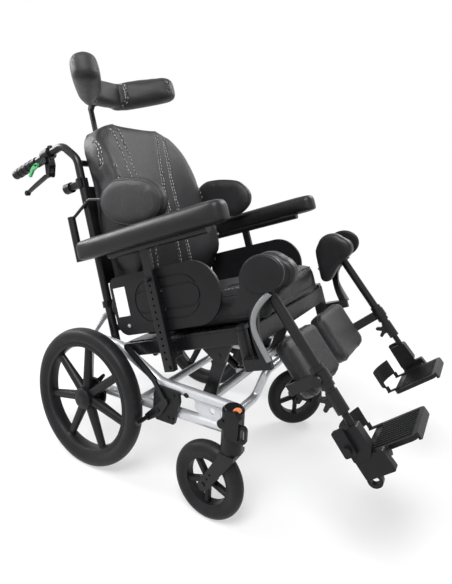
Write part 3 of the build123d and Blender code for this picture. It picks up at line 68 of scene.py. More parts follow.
# ---- frames of the seat and of the legrests, in metres ------------------------------------------
SEAT_LEAN = math.radians(18.7)
LEG_LEAN = math.radians(39.45)
SEAT_ORIGIN = Vector((0.1882, 0.0, 0.4))
SEAT_FORWARD, SEAT_UP = leaning(SEAT_LEAN)
LEG_FORWARD, LEG_UP = leaning(LEG_LEAN)
LEFTWARD = Vector((0.0, 1.0, 0.0))
AXLE_X = -0.2098
REAR_WHEEL_CENTRE = (AXLE_X, 0.0, 0.203)
CASTOR_CENTRE = (AXLE_X + 0.419, 0.0, 0.1)
CRISP = math.radians(32)
SOFT_EDGE = math.radians(40)
ROUNDED_EDGE = math.radians(50)
HANGER_FACE = 0.3145
CUSHION_TOP = 0.735
OUTSIDE = 0.4


def on_seat(forward, left, up):
    """A point given along the seat, in metres."""
    return SEAT_ORIGIN + SEAT_FORWARD * forward + LEFTWARD * left + SEAT_UP * up


def base_point(forward, left, up):
    """A point given from the rear axle, in metres."""
    return Vector((AXLE_X + forward, left, up))


def on_leg(forward, left, down):
    """A point given along the legrest, in metres from the knee."""
    knee = on_seat(0.205, 0.0, 0.184)
    return knee + LEG_FORWARD * forward + LEFTWARD * left - LEG_UP * down


# ---- shader values ------------------------------------------------------------------------------
class Value:
    """A shader number that adds Math nodes when it is used in a sum."""

    def __init__(self, tree, socket):
        self.tree = tree
        self.socket = socket

    def math(self, operation, *others, clamp=False):
        node = self.tree.nodes.new("ShaderNodeMath")
        node.operation = operation
        node.use_clamp = clamp
        for slot, value in enumerate(others):
            if isinstance(value, Value):
                self.tree.links.new(value.socket, node.inputs[slot])
            else:
                node.inputs[slot].default_value = value
        return Value(self.tree, node.outputs[0])

    def __add__(self, other):
        return self.math("ADD", self, other)

    def __sub__(self, other):
        return self.math("SUBTRACT", self, other)

    def __rsub__(self, other):
        return self.math("SUBTRACT", other, self)

    def __mul__(self, other):
        return self.math("MULTIPLY", self, other)

    def __truediv__(self, other):
        return self.math("DIVIDE", self, other)

    def __pow__(self, other):
        return self.math("POWER", self, other)

    def __gt__(self, other):
        return self.math("GREATER_THAN", self, other)

    def sine(self):
        return self.math("SINE", self)

    def clip(self):
        return self.math("ADD", self, 0.0, clamp=True)

    def largest(self, other):
        return self.math("MAXIMUM", self, other)

    def least(self, other):
        return self.math("MINIMUM", self, other)


class Finish:
    """One material, built from nodes round a Principled shader."""

    def __init__(self, name, colour, roughness, metallic=0.0, **sockets):
        self.material = bpy.data.materials.new(name)
        self.material.use_nodes = True
        self.tree = self.material.node_tree
        self.shader = self.tree.nodes["Principled BSDF"]
        self.output = self.tree.nodes["Material Output"]
        self.colour = (*colour, 1.0)
        self.set("Base Color", self.colour)
        self.set("Roughness", roughness)
        self.set("Metallic", metallic)
        for socket, value in sockets.items():
            self.set(socket.replace("_", " ").title().replace("Ior", "IOR"), value)
        self.material.diffuse_color = self.colour

    def set(self, socket, value):
        """Gives a socket of the Principled shader a plain value or a link."""
        if isinstance(value, Value):
            self.tree.links.new(value.socket, self.shader.inputs[socket])
        else:
            self.shader.inputs[socket].default_value = value

    def node(self, kind, settings=(), output=0, **inputs):
        """Adds a node: its settings come first, then the values or links of its sockets."""
        node = self.tree.nodes.new("ShaderNode" + kind)
        for key, value in dict(settings).items():
            setattr(node, key, value)
        for key, value in inputs.items():
            numbered = key[0] == "i" and key[1:].isdigit()
            socket = node.inputs[int(key[1:]) if numbered else key]
            if isinstance(value, Value):
                self.tree.links.new(value.socket, socket)
            else:
                socket.default_value = value
        return Value(self.tree, node.outputs[output])

    def place(self, origin=(0.0, 0.0, 0.0), turn=(0.0, 0.0, 0.0), scale=(1.0, 1.0, 1.0)):
        """Object coordinates measured from a point and turned."""
        raw = self.node("TexCoord", output=3)
        kind = {"vector_type": "TEXTURE"}
        return self.node("Mapping", kind, i0=raw, i1=origin, i2=turn, i3=scale)

    def axes(self, vector):
        """The three parts of a vector."""
        split = self.tree.nodes.new("ShaderNodeSeparateXYZ")
        self.tree.links.new(vector.socket, split.inputs[0])
        return [Value(self.tree, split.outputs[index]) for index in range(3)]

    def noise(self, vector, scale, detail=4.0, roughness=0.55):
        """A soft random pattern from 0 to 1."""
        return self.node("TexNoise", i0=vector, Scale=scale, Detail=detail, Roughness=roughness)

    def cells(self, vector, scale, feature="DISTANCE_TO_EDGE"):
        """Distances in a random cell pattern."""
        return self.node("TexVoronoi", {"feature": feature}, i0=vector, Scale=scale)

    def blend(self, factor, first, second):
        """A colour between two colours."""
        mixed = self.tree.nodes.new("ShaderNodeMix")
        mixed.data_type = "RGBA"
        for slot, value in ((0, factor), (6, first), (7, second)):
            if isinstance(value, Value):
                self.tree.links.new(value.socket, mixed.inputs[slot])
            else:
                mixed.inputs[slot].default_value = value
        return Value(self.tree, mixed.outputs[2])

    def ramp(self, factor, stops):
        """A grey ramp through (position, level) stops."""
        node = self.tree.nodes.new("ShaderNodeValToRGB")
        for index, (position, level) in enumerate(stops):
            made = node.color_ramp.elements
            stop = made[index] if index < 2 else made.new(position)
            stop.position = position
            stop.color = (level, level, level, 1.0)
        self.tree.links.new(factor.socket, node.inputs[0])
        return Value(self.tree, node.outputs[0])

    def bump(self, height, distance, strength=1.0, under=None):
        """A Bump node on a height, over another bump where one is given."""
        inputs = {"Height": height, "Distance": distance, "Strength": strength}
        if under is not None:
            inputs["Normal"] = under
        return self.node("Bump", **inputs)

    def vary(self, vector, scale, darker, lighter):
        """Gives the base colour a slow change over the surface."""
        tone = self.ramp(self.noise(vector, scale), [(0.35, 0.0), (0.7, 1.0)])
        first = tuple(c * darker for c in self.colour[:3]) + (1.0,)
        second = tuple(min(c * lighter, 1.0) for c in self.colour[:3]) + (1.0,)
        self.set("Base Color", self.blend(tone, first, second))
        return tone

    def sheen(self, vector, scale, change, least, detail=3.0):
        """Lets the roughness change a little over the surface."""
        self.set("Roughness", self.noise(vector, scale, detail) * change + least)

    def relief(self, vector, scale, depth, strength, detail=3.0):
        """Gives the surface a fine random relief."""
        self.set("Normal", self.bump(self.noise(vector, scale, detail), depth, strength))


# ---- mesh helpers -------------------------------------------------------------------------------
def pick(*pieces):
    """Selects only these objects, the last of them active."""
    bpy.ops.object.select_all(action="DESELECT")
    for piece in pieces:
        piece.hide_set(False)
        piece.select_set(True)
    bpy.context.view_layer.objects.active = pieces[-1]


def edit(piece):
    """Opens a piece for editing with everything selected."""
    pick(piece)
    bpy.ops.object.mode_set(mode="EDIT")
    bpy.ops.mesh.select_all(action="SELECT")


def edit_chosen(piece, kind, chosen):
    """Opens a piece for editing with only the chosen faces or corners selected."""
    faces = kind == "faces"
    bpy.context.scene.tool_settings.mesh_select_mode = (not faces, False, faces)
    for line in piece.data.edges:
        line.select = False
    for corner in piece.data.vertices:
        corner.select = not faces and chosen(corner)
    for face in piece.data.polygons:
        face.select = faces and chosen(face)
    pick(piece)
    bpy.ops.object.mode_set(mode="EDIT")


def close_edit():
    bpy.ops.object.mode_set(mode="OBJECT")


def settle(piece):
    """Moves a piece's place into its mesh."""
    pick(piece)
    bpy.ops.object.transform_apply(location=True, rotation=True, scale=True)


def merged_copy(node, name):
    """A free copy of a CAD node's mesh with its loose triangles joined."""
    source = frame["nodes"][node]
    piece = bpy.data.objects.new(name, source.data.copy())
    bpy.context.scene.collection.objects.link(piece)
    piece.data.name = name
    piece.data.materials.clear()
    edit(piece)
    bpy.ops.mesh.remove_doubles(threshold=0.00001)
    close_edit()
    bpy.ops.mesh.customdata_custom_splitnormals_clear()
    return piece


def dress(piece, body, slot, finish=None):
    """Gives a piece its body and its finish, by default the finish of the slot."""
    piece.data.materials.clear()
    piece.data.materials.append(finishes[finish or slot])
    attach(piece, body)


def modifier(piece, kind, **settings):
    """Adds a modifier with its settings and applies it."""
    added = piece.modifiers.new(kind.lower(), kind)
    for key, value in settings.items():
        setattr(added, key, value)
    pick(piece)
    bpy.ops.object.modifier_apply(modifier=added.name)


def smooth_by(piece, angle):
    """Shades a piece smooth, with creases where faces meet at more than the angle."""
    pick(piece)
    bpy.ops.object.shade_smooth_by_angle(angle=angle)


def move(piece, place):
    """Takes a piece to a matrix and keeps it there."""
    piece.matrix_world = place
    settle(piece)


def drum(name, vertices, scale):
    """A round block with semi-axes and a thickness."""
    bpy.ops.mesh.primitive_cylinder_add(vertices=vertices, radius=1.0, depth=1.0)
    piece = bpy.context.active_object
    piece.name = name
    piece.scale = scale
    settle(piece)
    return piece


def tree_of(piece):
    """A search tree of a piece's surface."""
    mesh = piece.data
    mesh.calc_loop_triangles()
    corners = [v.co.copy() for v in mesh.vertices]
    return BVHTree.FromPolygons(corners, [t.vertices[:] for t in mesh.loop_triangles])


def swell(piece, pressure, cap, rest_on):
    """Blows a piece up with cloth pressure.

    No point moves further than cap, nor towards what it rests on.
    """
    frames, resting = 20, 1.2
    before = [v.co.copy() for v in piece.data.vertices]
    normals = [v.normal.copy() for v in piece.data.vertices]
    cloth = piece.modifiers.new("pressure", "CLOTH")
    fabric = cloth.settings
    fabric.quality = 4
    fabric.mass = 0.25
    fabric.tension_stiffness = 12.0
    fabric.compression_stiffness = 12.0
    fabric.bending_stiffness = 0.6
    fabric.use_pressure = True
    fabric.uniform_pressure_force = pressure
    fabric.effector_weights.gravity = 0.0
    cloth.collision_settings.use_collision = False
    cloth.point_cache.frame_start = 1
    cloth.point_cache.frame_end = frames
    scene = bpy.context.scene
    for number in range(1, frames + 1):
        scene.frame_set(number)
    shape = piece.evaluated_get(bpy.context.evaluated_depsgraph_get()).to_mesh()
    after = [v.co.copy() for v in shape.vertices]
    piece.modifiers.remove(cloth)
    scene.frame_set(1)
    for index, vertex in enumerate(piece.data.vertices):
        rise = after[index] - before[index]
        if rise.length > cap:
            rise = rise * (cap / rise.length)
        if rest_on is not None:
            rise = rise * max(0.0, 1.0 - max(0.0, normals[index].dot(rest_on)) * resting)
        vertex.co = before[index] + rise
    piece.data.update()


def stretch(piece, centre, factors, lean, shift=(0.0, 0.0, 0.0)):
    """Stretches a piece about a point, along the axes of a leaning frame."""
    along, rise = leaning(lean)
    axes = (along, LEFTWARD, rise)
    for vertex in piece.data.vertices:
        arm = vertex.co - centre
        moved = centre.copy()
        for axis, factor, more in zip(axes, factors, shift):
            moved += axis * (arm.dot(axis) * factor + more)
        vertex.co = moved
    piece.data.update()


def round_top(piece):
    """Rounds the upper edge of the back cushion in one smooth curve."""
    edit_chosen(
        piece, "corners", lambda corner: (corner.co - SEAT_ORIGIN).dot(SEAT_UP) > CUSHION_TOP
    )
    bpy.ops.mesh.vertices_smooth(factor=0.5, repeat=70)
    close_edit()


def ovalise(piece, centre, reach, lean, share):
    """Rounds the corners of a flat pad towards an oval outline."""
    along, rise = leaning(lean)
    least = 0.1
    for vertex in piece.data.vertices:
        arm = vertex.co - centre
        a, b = arm.dot(along) / reach[0], arm.dot(rise) / reach[1]
        a_new = a * math.sqrt(max(least, 1.0 - share * b * b / 2))
        b_new = b * math.sqrt(max(least, 1.0 - share * a * a / 2))
        vertex.co = vertex.co + along * (a_new - a) * reach[0] + rise * (b_new - b) * reach[1]
    piece.data.update()


def cushion_from(node, name, voxel, drawn_in, cap, soften, pressure, rest_on=None, form=None):
    """A padded piece on a CAD solid: formed, remeshed, drawn in, blown up and softened."""
    piece = merged_copy(node, name)
    if form is not None:
        form(piece)
    modifier(piece, "REMESH", mode="VOXEL", voxel_size=voxel)
    for vertex in piece.data.vertices:
        vertex.co = vertex.co - vertex.normal * drawn_in
    swell(piece, pressure, cap, rest_on)
    edit(piece)
    bpy.ops.mesh.vertices_smooth(factor=0.5, repeat=soften)
    close_edit()
    if node == "back_cushion":
        round_top(piece)
    modifier(piece, "SUBSURF", levels=1, render_levels=1)
    pick(piece)
    bpy.ops.object.shade_smooth()
    return piece


def cast(surface, start, direction):
    """Where a line meets a surface, and the surface's normal there."""
    found, normal, _, _ = surface.ray_cast(start, direction.normalized())
    if found is None:
        found, normal, _, _ = surface.find_nearest(start)
    return found, normal


def even(points, pitch):
    """Points a set distance apart along a run of points."""
    placed = [points[0]]
    left = pitch
    for start, end in zip(points, points[1:]):
        span = (end - start).length
        along = 0.0
        while span - along >= left:
            along += left
            placed.append(start + (end - start) * (along / span))
            left = pitch
        left -= span - along
    return placed


def laid_on(piece, points, direction, pitch=0.004):
    """A run of points laid on a piece's surface, with the normals there."""
    surface = tree_of(piece)
    return [cast(surface, point - direction * OUTSIDE, direction) for point in even(points, pitch)]


def seam_groove(piece, run, width, depth):
    """Draws a seam line into a padded surface."""
    line = [point for point, _ in run]
    normals = [normal for _, normal in run]
    near = KDTree(len(line))
    for index, point in enumerate(line):
        near.insert(point, index)
    near.balance()
    for vertex in piece.data.vertices:
        _, index, distance = near.find(vertex.co)
        if distance < width:
            share = 1.0 - distance / width
            vertex.co = vertex.co - normals[index] * depth * share * share
    piece.data.update()


def stitch_mesh():
    """One stitch: a short capsule along X with few faces."""
    across = (0.0, math.pi / 2, 0.0)
    bpy.ops.mesh.primitive_cylinder_add(vertices=6, radius=0.0008, depth=0.0056, rotation=across)
    stitch = bpy.context.active_object
    settle(stitch)
    edit_chosen(stitch, "faces", lambda face: abs(face.normal.x) > 0.9)
    bpy.ops.mesh.inset(thickness=0.0005, depth=0.0006)
    close_edit()
    mesh = stitch.data.copy()
    bpy.data.objects.remove(stitch)
    return mesh


def from_parts(name, mesh, places):
    """One mesh of many copies of a small mesh, each at a matrix."""
    corners = []
    faces = []
    for place in places:
        first = len(corners)
        corners.extend(place @ vertex.co for vertex in mesh.vertices)
        faces.extend([first + index for index in face.vertices] for face in mesh.polygons)
    made = bpy.data.meshes.new(name)
    made.from_pydata(corners, [], faces)
    made.update()
    piece = bpy.data.objects.new(name, made)
    bpy.context.scene.collection.objects.link(piece)
    smooth_by(piece, SOFT_EDGE)
    return piece


def stitch_places(run, offset, every=3):
    """Places of stitches beside a seam, one every few steps of the run."""
    places = []
    for index in range(1, len(run) - 1, every):
        point, normal = run[index]
        along = (run[index + 1][0] - run[index - 1][0]).normalized()
        across = normal.cross(along).normalized()
        up = along.cross(across).normalized()
        turned = Matrix((along, across, up)).transposed().to_4x4()
        places.append(Matrix.Translation(point + across * offset + up * 0.0003) @ turned)
    return places


def welt(piece, name, point, normal, radius):
    """A welt round a padded piece: the line where a plane cuts it, as a thin tube."""
    line = bpy.data.objects.new(name, piece.data.copy())
    bpy.context.scene.collection.objects.link(line)
    edit(line)
    bpy.ops.mesh.bisect(plane_co=point, plane_no=normal, clear_inner=True, clear_outer=True)
    close_edit()
    bpy.ops.object.convert(target="CURVE")
    line = bpy.context.active_object
    line.data.bevel_depth = radius
    line.data.bevel_resolution = 2
    bpy.ops.object.convert(target="MESH")
    bpy.ops.object.shade_smooth()
    return bpy.context.active_object


def aim(direction):
    """A turn that takes Z to a direction."""
    return direction.to_track_quat("Z", "Y").to_matrix().to_4x4()


def screw_mesh(radius, height):
    """A socket screw head that stands on Z, with a rounded rim and a hollow."""
    middle = (0.0, 0.0, height / 2)
    rounding = height * 0.35
    wall, taper, hollow = radius * 0.38, radius * 0.04, height * 0.5
    bpy.ops.mesh.primitive_cylinder_add(vertices=20, radius=radius, depth=height, location=middle)
    head = bpy.context.active_object
    settle(head)
    edit_chosen(head, "faces", lambda face: face.normal.z > 0.9)
    bpy.ops.mesh.bevel(offset=rounding, segments=2)
    close_edit()
    edit_chosen(head, "faces", lambda face: face.normal.z > 0.9 and face.area > radius * radius)
    bpy.ops.mesh.inset(thickness=wall)
    bpy.ops.mesh.inset(thickness=taper, depth=-hollow)
    close_edit()
    mesh = head.data.copy()
    bpy.data.objects.remove(head)
    return mesh


# ---- finishes -----------------------------------------------------------------------------------
def leather_finish(look):
    """Grained dark upholstery with soft creases."""
    finish = Finish("Upholstery", look.upholstery, 0.38, specular_ior_level=0.3)
    spot = finish.place()
    tone = finish.vary(spot, 9.0, 0.82, 1.25)
    grain = finish.cells(spot, 620.0)
    pores = finish.noise(spot, 900.0, 2.0)
    long = finish.place(scale=(0.7, 1.0, 1.4))
    creases = finish.noise(long, scale=16.0, detail=5.0, roughness=0.6)
    finish.set("Roughness", finish.noise(spot, 60.0, 3.0) * 0.14 + tone * 0.05 + 0.3)
    low = finish.bump(creases, distance=0.006, strength=0.35)
    height = grain.least(0.25) * 4.0 + pores * 0.5
    finish.set("Normal", finish.bump(height, distance=0.00035, strength=0.55, under=low))
    return finish.material


def plain_finish(name, colour, roughness, tones, relief, sheen=None, **sockets):
    """A finish that changes a little over the surface.

    Its tones are a scale and two factors of the colour. Its sheen is a scale, a change and a least
    roughness, and its relief a scale, a depth and a strength, each with a detail where it isn't 3.
    """
    finish = Finish(name, colour, roughness, **sockets)
    spot = finish.place()
    finish.vary(spot, *tones)
    if sheen:
        finish.sheen(spot, *sheen)
    finish.relief(spot, *relief)
    return finish.material


def foam_finish(look):
    """Smooth moulded skin foam of the arm pads and knee pads."""
    skin = {"tones": (14.0, 0.85, 1.2), "sheen": (40.0, 0.12, 0.34), "relief": (700.0, 0.0003, 0.5)}
    return plain_finish("Moulded foam", look.foam, roughness=0.4, specular_ior_level=0.25, **skin)


def thread_finish(look):
    """Light sewing thread."""
    skin = {"tones": (60.0, 0.8, 1.05), "relief": (2500.0, 0.0002, 0.6, 2.0)}
    return plain_finish("Thread", look.thread, roughness=0.7, **skin)


def silver_finish(look):
    """Satin silver powder coat with fine orange peel."""
    skin = {"tones": (11.0, 0.93, 1.04), "sheen": (25.0, 0.12, 0.27, 4.0)}
    coat = {"metallic": 0.6, "coat_weight": 0.2, "coat_roughness": 0.12}
    relief = (480.0, 0.0002, 0.35)
    return plain_finish("Silver coat", look.silver, 0.3, relief=relief, **skin, **coat)


def black_coat_finish(look):
    """Satin black powder coat on steel."""
    skin = {"tones": (13.0, 0.8, 1.35), "sheen": (22.0, 0.12, 0.22, 4.0)}
    coat = {"relief": (560.0, 0.0003, 0.45), "specular_ior_level": 0.28}
    return plain_finish("Black coat", look.black_coat, roughness=0.28, **skin, **coat)


def casting_finish(look):
    """Light grey cast bracket with a satin skin."""
    skin = {"tones": (20.0, 0.88, 1.06), "sheen": (45.0, 0.15, 0.33, 4.0)}
    relief = (350.0, 0.0004, 0.4, 4.0)
    return plain_finish("Grey casting", look.casting, 0.4, relief=relief, metallic=0.3, **skin)


def webbing_finish(look):
    """Woven black strap."""
    finish = Finish("Webbing", look.webbing, 0.78, specular_ior_level=0.2)
    spot = finish.place(turn=(0.0, -SEAT_LEAN, 0.0))
    across, along, rise = finish.axes(spot)
    weft = (along * 1600.0).sine() * (across * 1300.0).sine()
    ribs = (rise * 1500.0).sine()
    height = weft * 0.5 + ribs * 0.25 + 0.5
    finish.vary(spot, 30.0, 0.8, 1.3)
    finish.set("Normal", finish.bump(height, distance=0.0006, strength=0.7))
    return finish.material


def moulded_finish(look):
    """Grained black moulding."""
    finish = Finish("Moulded black", look.moulded, 0.36, specular_ior_level=0.2)
    spot = finish.place()
    finish.vary(spot, 17.0, 0.85, 1.25)
    finish.sheen(spot, 70.0, 0.12, 0.32)
    grain = finish.cells(spot, 900.0, "F1") + finish.noise(spot, 1400.0, 2.0) * 0.6
    finish.set("Normal", finish.bump(grain, distance=0.00025, strength=0.5))
    return finish.material


def rubber_finish(look, name, centre):
    """Tyre rubber with a tread of blocks; the wheel stands on the floor."""
    blocks_round, gap, tread_depth = 56.0, 0.55, 0.0075
    finish = Finish(name, look.rubber, 0.5, specular_ior_level=0.2)
    spot = finish.place(origin=centre)
    forward, _, rise = finish.axes(spot)
    turn = forward.math("ARCTAN2", rise, forward)
    reach = (forward * forward + rise * rise) ** 0.5
    blocks = (turn * blocks_round).sine() > gap
    tread = (reach > centre[2] - tread_depth) * blocks
    finish.vary(spot, 26.0, 0.8, 1.5)
    finish.sheen(spot, 50.0, 0.14, 0.42)
    fine = finish.bump(finish.noise(spot, 800.0, 3.0), distance=0.0003, strength=0.5)
    finish.set("Normal", finish.bump(1.0 - tread, distance=0.0016, strength=0.8, under=fine))
    return finish.material


def steel_finish(look, name, colour, roughness, brushed):
    """Bright metal, brushed or polished."""
    finish = Finish(name, colour, roughness, 1.0)
    spot = finish.place(scale=(1.0, 0.04, 1.0) if brushed else (1.0, 1.0, 1.0))
    finish.vary(spot, 30.0, 0.9, 1.03)
    finish.sheen(spot, 420.0, 0.16, roughness)
    finish.relief(spot, 900.0, 0.0001, 0.3 if brushed else 0.08, 2.0)
    return finish.material


def gloss_finish(name, colour):
    """Coloured glossy lever or plate."""
    skin = {"tones": (50.0, 0.88, 1.08), "sheen": (90.0, 0.1, 0.24)}
    coat = {"relief": (300.0, 0.0002, 0.2, 2.0), "coat_weight": 0.4}
    return plain_finish(name, colour, roughness=0.28, **skin, **coat)


def colour_property(name, pieces, default):
    kind = {"subtype": "COLOR", "size": 3, "min": 0.0, "max": 1.0, "default": default}
    return bpy.props.FloatVectorProperty(name=name, description=f"Colour of the {pieces}", **kind)


def length_property(name, description, default, least, most):
    return bpy.props.FloatProperty(
        name=name, description=description, default=default, min=least, max=most, unit="LENGTH"
    )


class WheelchairColours(bpy.types.PropertyGroup):
    """Colours of the wheelchair."""

    upholstery: colour_property("Upholstery", "cushions", (0.014, 0.014, 0.0155))
    foam: colour_property("Foam pads", "arm pads and knee pads", (0.01, 0.01, 0.011))
    thread: colour_property("Thread", "seams' stitches", (0.62, 0.62, 0.63))
    webbing: colour_property("Webbing", "belt and heel straps", (0.008, 0.008, 0.009))
    silver: colour_property("Silver coat", "base frame", (0.56, 0.57, 0.59))
    black_coat: colour_property("Black coat", "coated tubes", (0.006, 0.006, 0.007))
    moulded: colour_property("Mouldings", "black mouldings", (0.007, 0.007, 0.008))
    casting: colour_property("Casting", "legrest brackets", (0.2, 0.205, 0.21))
    rubber: colour_property("Rubber", "tyres", (0.008, 0.008, 0.009))
    chrome: colour_property("Polished rod", "polished rods", (0.72, 0.73, 0.75))
    steel: colour_property("Bright steel", "bright fittings", (0.56, 0.57, 0.58))
    green: colour_property("Tilt trigger", "tilt trigger", (0.05, 0.37, 0.12))
    yellow: colour_property("Recline trigger", "recline trigger", (0.82, 0.56, 0.04))
    marker: colour_property("Marker", "tie-down markers", (0.86, 0.24, 0.07))
    label: colour_property("Blank label", "side guard's plate", (0.78, 0.78, 0.77))


class WheelchairSizes(bpy.types.PropertyGroup):
    """Sizes that the padding and the seams take."""

    voxel: length_property("Voxel", "Grid of the seat's padding", 0.006, 0.004, 0.01)
    swell: length_property("Swell", "Furthest that the back's padding rises", 0.014, 0.0, 0.03)
    seam_depth: length_property("Seam depth", "Depth of the sewn lines", 0.004, 0.0, 0.01)
    seam_gap: length_property("Stitch rows", "From a seam to its stitches", 0.005, 0.001, 0.01)
    lamp_power: bpy.props.FloatProperty(
        name="Lamp power",
        description="Power of the main soft lamp",
        default=120.0,
        min=0.0,
        unit="POWER",
    )


finishes = {}


def make_finishes(look):
    """Builds every material once."""
    finishes.update(
        upholstery=leather_finish(look),
        pad_foam=foam_finish(look),
        thread=thread_finish(look),
        webbing=webbing_finish(look),
        silver=silver_finish(look),
        black_metal=black_coat_finish(look),
        black_plastic=moulded_finish(look),
        grey_plastic=casting_finish(look),
        tyre=rubber_finish(look, "Castor rubber", CASTOR_CENTRE),
        rear_tyre=rubber_finish(look, "Rear tyre rubber", REAR_WHEEL_CENTRE),
        chrome=steel_finish(look, "Polished steel", look.chrome, 0.1, False),
        bright_steel=steel_finish(look, "Bright steel", look.steel, 0.26, True),
        green=gloss_finish("Green lever", look.green),
        yellow=gloss_finish("Yellow lever", look.yellow),
        marker=gloss_finish("Orange marker", look.marker),
        label=gloss_finish("Blank label", look.label),
    )


def slots():
    """The record's material slot of each CAD node."""
    return {part["node"]: part["material_slot"] for part in frame["record"]["subparts"]}


def body_of(node):
    """The body that a CAD node rides on."""
    groups = frame["record"]["behaviour"]["bodies"]
    return next(body for body, nodes in groups.items() if node in nodes)


SOFT_NODES = (
    "seat_cushion", "back_cushion", "headrest_pad", "pelvic_belt",
    "arm_pad_right", "arm_pad_left", "knee_pad_right", "knee_pad_left",
    "lateral_pad_right", "lateral_pad_left", "calf_pad_right", "calf_pad_left",
    "heel_strap_right", "heel_strap_left",
)
SIDES = (("right", -1.0), ("left", 1.0))
COATED_BLACK = ("leg_hanger", "headrest_stem")


def stitched(piece, runs, size, body):
    """Draws seams into a padded piece and sews a stitch row on each side of them."""
    places = []
    for run in runs:
        seam_groove(piece, run, width=0.009, depth=size.seam_depth)
    surface = tree_of(piece)
    for run in runs:
        laid = []
        for point, _ in run:
            near, facing, _, _ = surface.find_nearest(point)
            laid.append((near, facing))
        places += stitch_places(laid, size.seam_gap) + stitch_places(laid, -size.seam_gap)
    thread = from_parts(piece.name + "_stitches", stitch_mesh(), places)
    clear = 0.0002
    for vertex in thread.data.vertices:
        near, facing, _, _ = surface.find_nearest(vertex.co)
        lift = (vertex.co - near).dot(facing)
        if lift < clear:
            vertex.co = vertex.co + facing * (clear - lift)
    dress(thread, body, "upholstery", "thread")


def pad_done(piece, node, slot="upholstery"):
    """Puts a finished pad in the place of its CAD node."""
    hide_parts(node)
    dress(piece, body_of(node), slot)


class WHEELCHAIR_OT_rigid(bpy.types.Operator):
    """Gives every rigid part smooth curved faces, crisp edges and its finish"""

    bl_idname = "wheelchair.rigid"
    bl_label = "Rigid parts"

    def execute(self, context):
        make_finishes(context.scene.wheelchair_colours)
        for node, slot in slots().items():
            if node in SOFT_NODES:
                continue
            piece = merged_copy(node, node + "_finished")
            smooth_by(piece, CRISP)
            key = "rear_tyre" if node.startswith("rear_tyre") else slot
            if node.startswith(COATED_BLACK):
                key = "black_metal"
            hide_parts(node)
            dress(piece, body_of(node), slot, key)
        return {"FINISHED"}


class WHEELCHAIR_OT_seat_cushion(bpy.types.Operator):
    """Pads the seat cushion and sews its seams"""

    bl_idname = "wheelchair.seat_cushion"
    bl_label = "Seat cushion"

    WELTS_UP = (0.088, 0.147)

    def execute(self, context):
        size = context.scene.wheelchair_sizes
        node = "seat_cushion"
        soft = {"voxel": size.voxel, "drawn_in": 0.004, "cap": 0.008, "soften": 12, "pressure": 2.5}
        piece = cushion_from(node, node + "_padded", rest_on=-SEAT_UP, **soft)
        inset = 0.045
        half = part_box(node)[1].y - inset
        front, rear, above = 0.088, -0.25, 0.2
        rows = [[on_seat(rear, left, above), on_seat(front, left, above)] for left in (-half, half)]
        rows.append([on_seat(front, -half, above), on_seat(front, half, above)])
        runs = [laid_on(piece, row, -SEAT_UP) for row in rows]
        stitched(piece, runs, size, "seat")
        for number, up in enumerate(self.WELTS_UP):
            middle = on_seat(0.0, 0.0, up)
            line = welt(piece, f"seat_cushion_welt_{number}", middle, SEAT_UP, radius=0.0018)
            dress(line, "seat", "upholstery")
        pad_done(piece, node)
        return {"FINISHED"}


class WHEELCHAIR_OT_back_cushion(bpy.types.Operator):
    """Pads the winged back cushion and sews its panels"""

    bl_idname = "wheelchair.back_cushion"
    bl_label = "Back cushion"

    # seams of the middle panel and of the wing: distance left and height
    SEAMS = (
        ((0.134, 0.742), (0.118, 0.66), (0.104, 0.56), (0.1, 0.4), (0.104, 0.15)),
        ((0.1, 0.742), (0.08, 0.66), (0.066, 0.56), (0.06, 0.4), (0.062, 0.15)),
        ((0.212, 0.7), (0.224, 0.6), (0.228, 0.45), (0.224, 0.3), (0.216, 0.18)),
    )

    def execute(self, context):
        size = context.scene.wheelchair_sizes
        node = "back_cushion"
        soft = {"voxel": 0.007, "drawn_in": 0.005, "cap": size.swell, "soften": 8, "pressure": 4.0}
        piece = cushion_from(node, node + "_padded", rest_on=-SEAT_FORWARD, **soft)
        before = -0.2
        runs = []
        for side in (-1.0, 1.0):
            for line in self.SEAMS:
                points = [on_seat(before, side * left, up) for left, up in line]
                runs.append(laid_on(piece, points, -SEAT_FORWARD))
        stitched(piece, runs, size, "back")
        pad_done(piece, node)
        return {"FINISHED"}


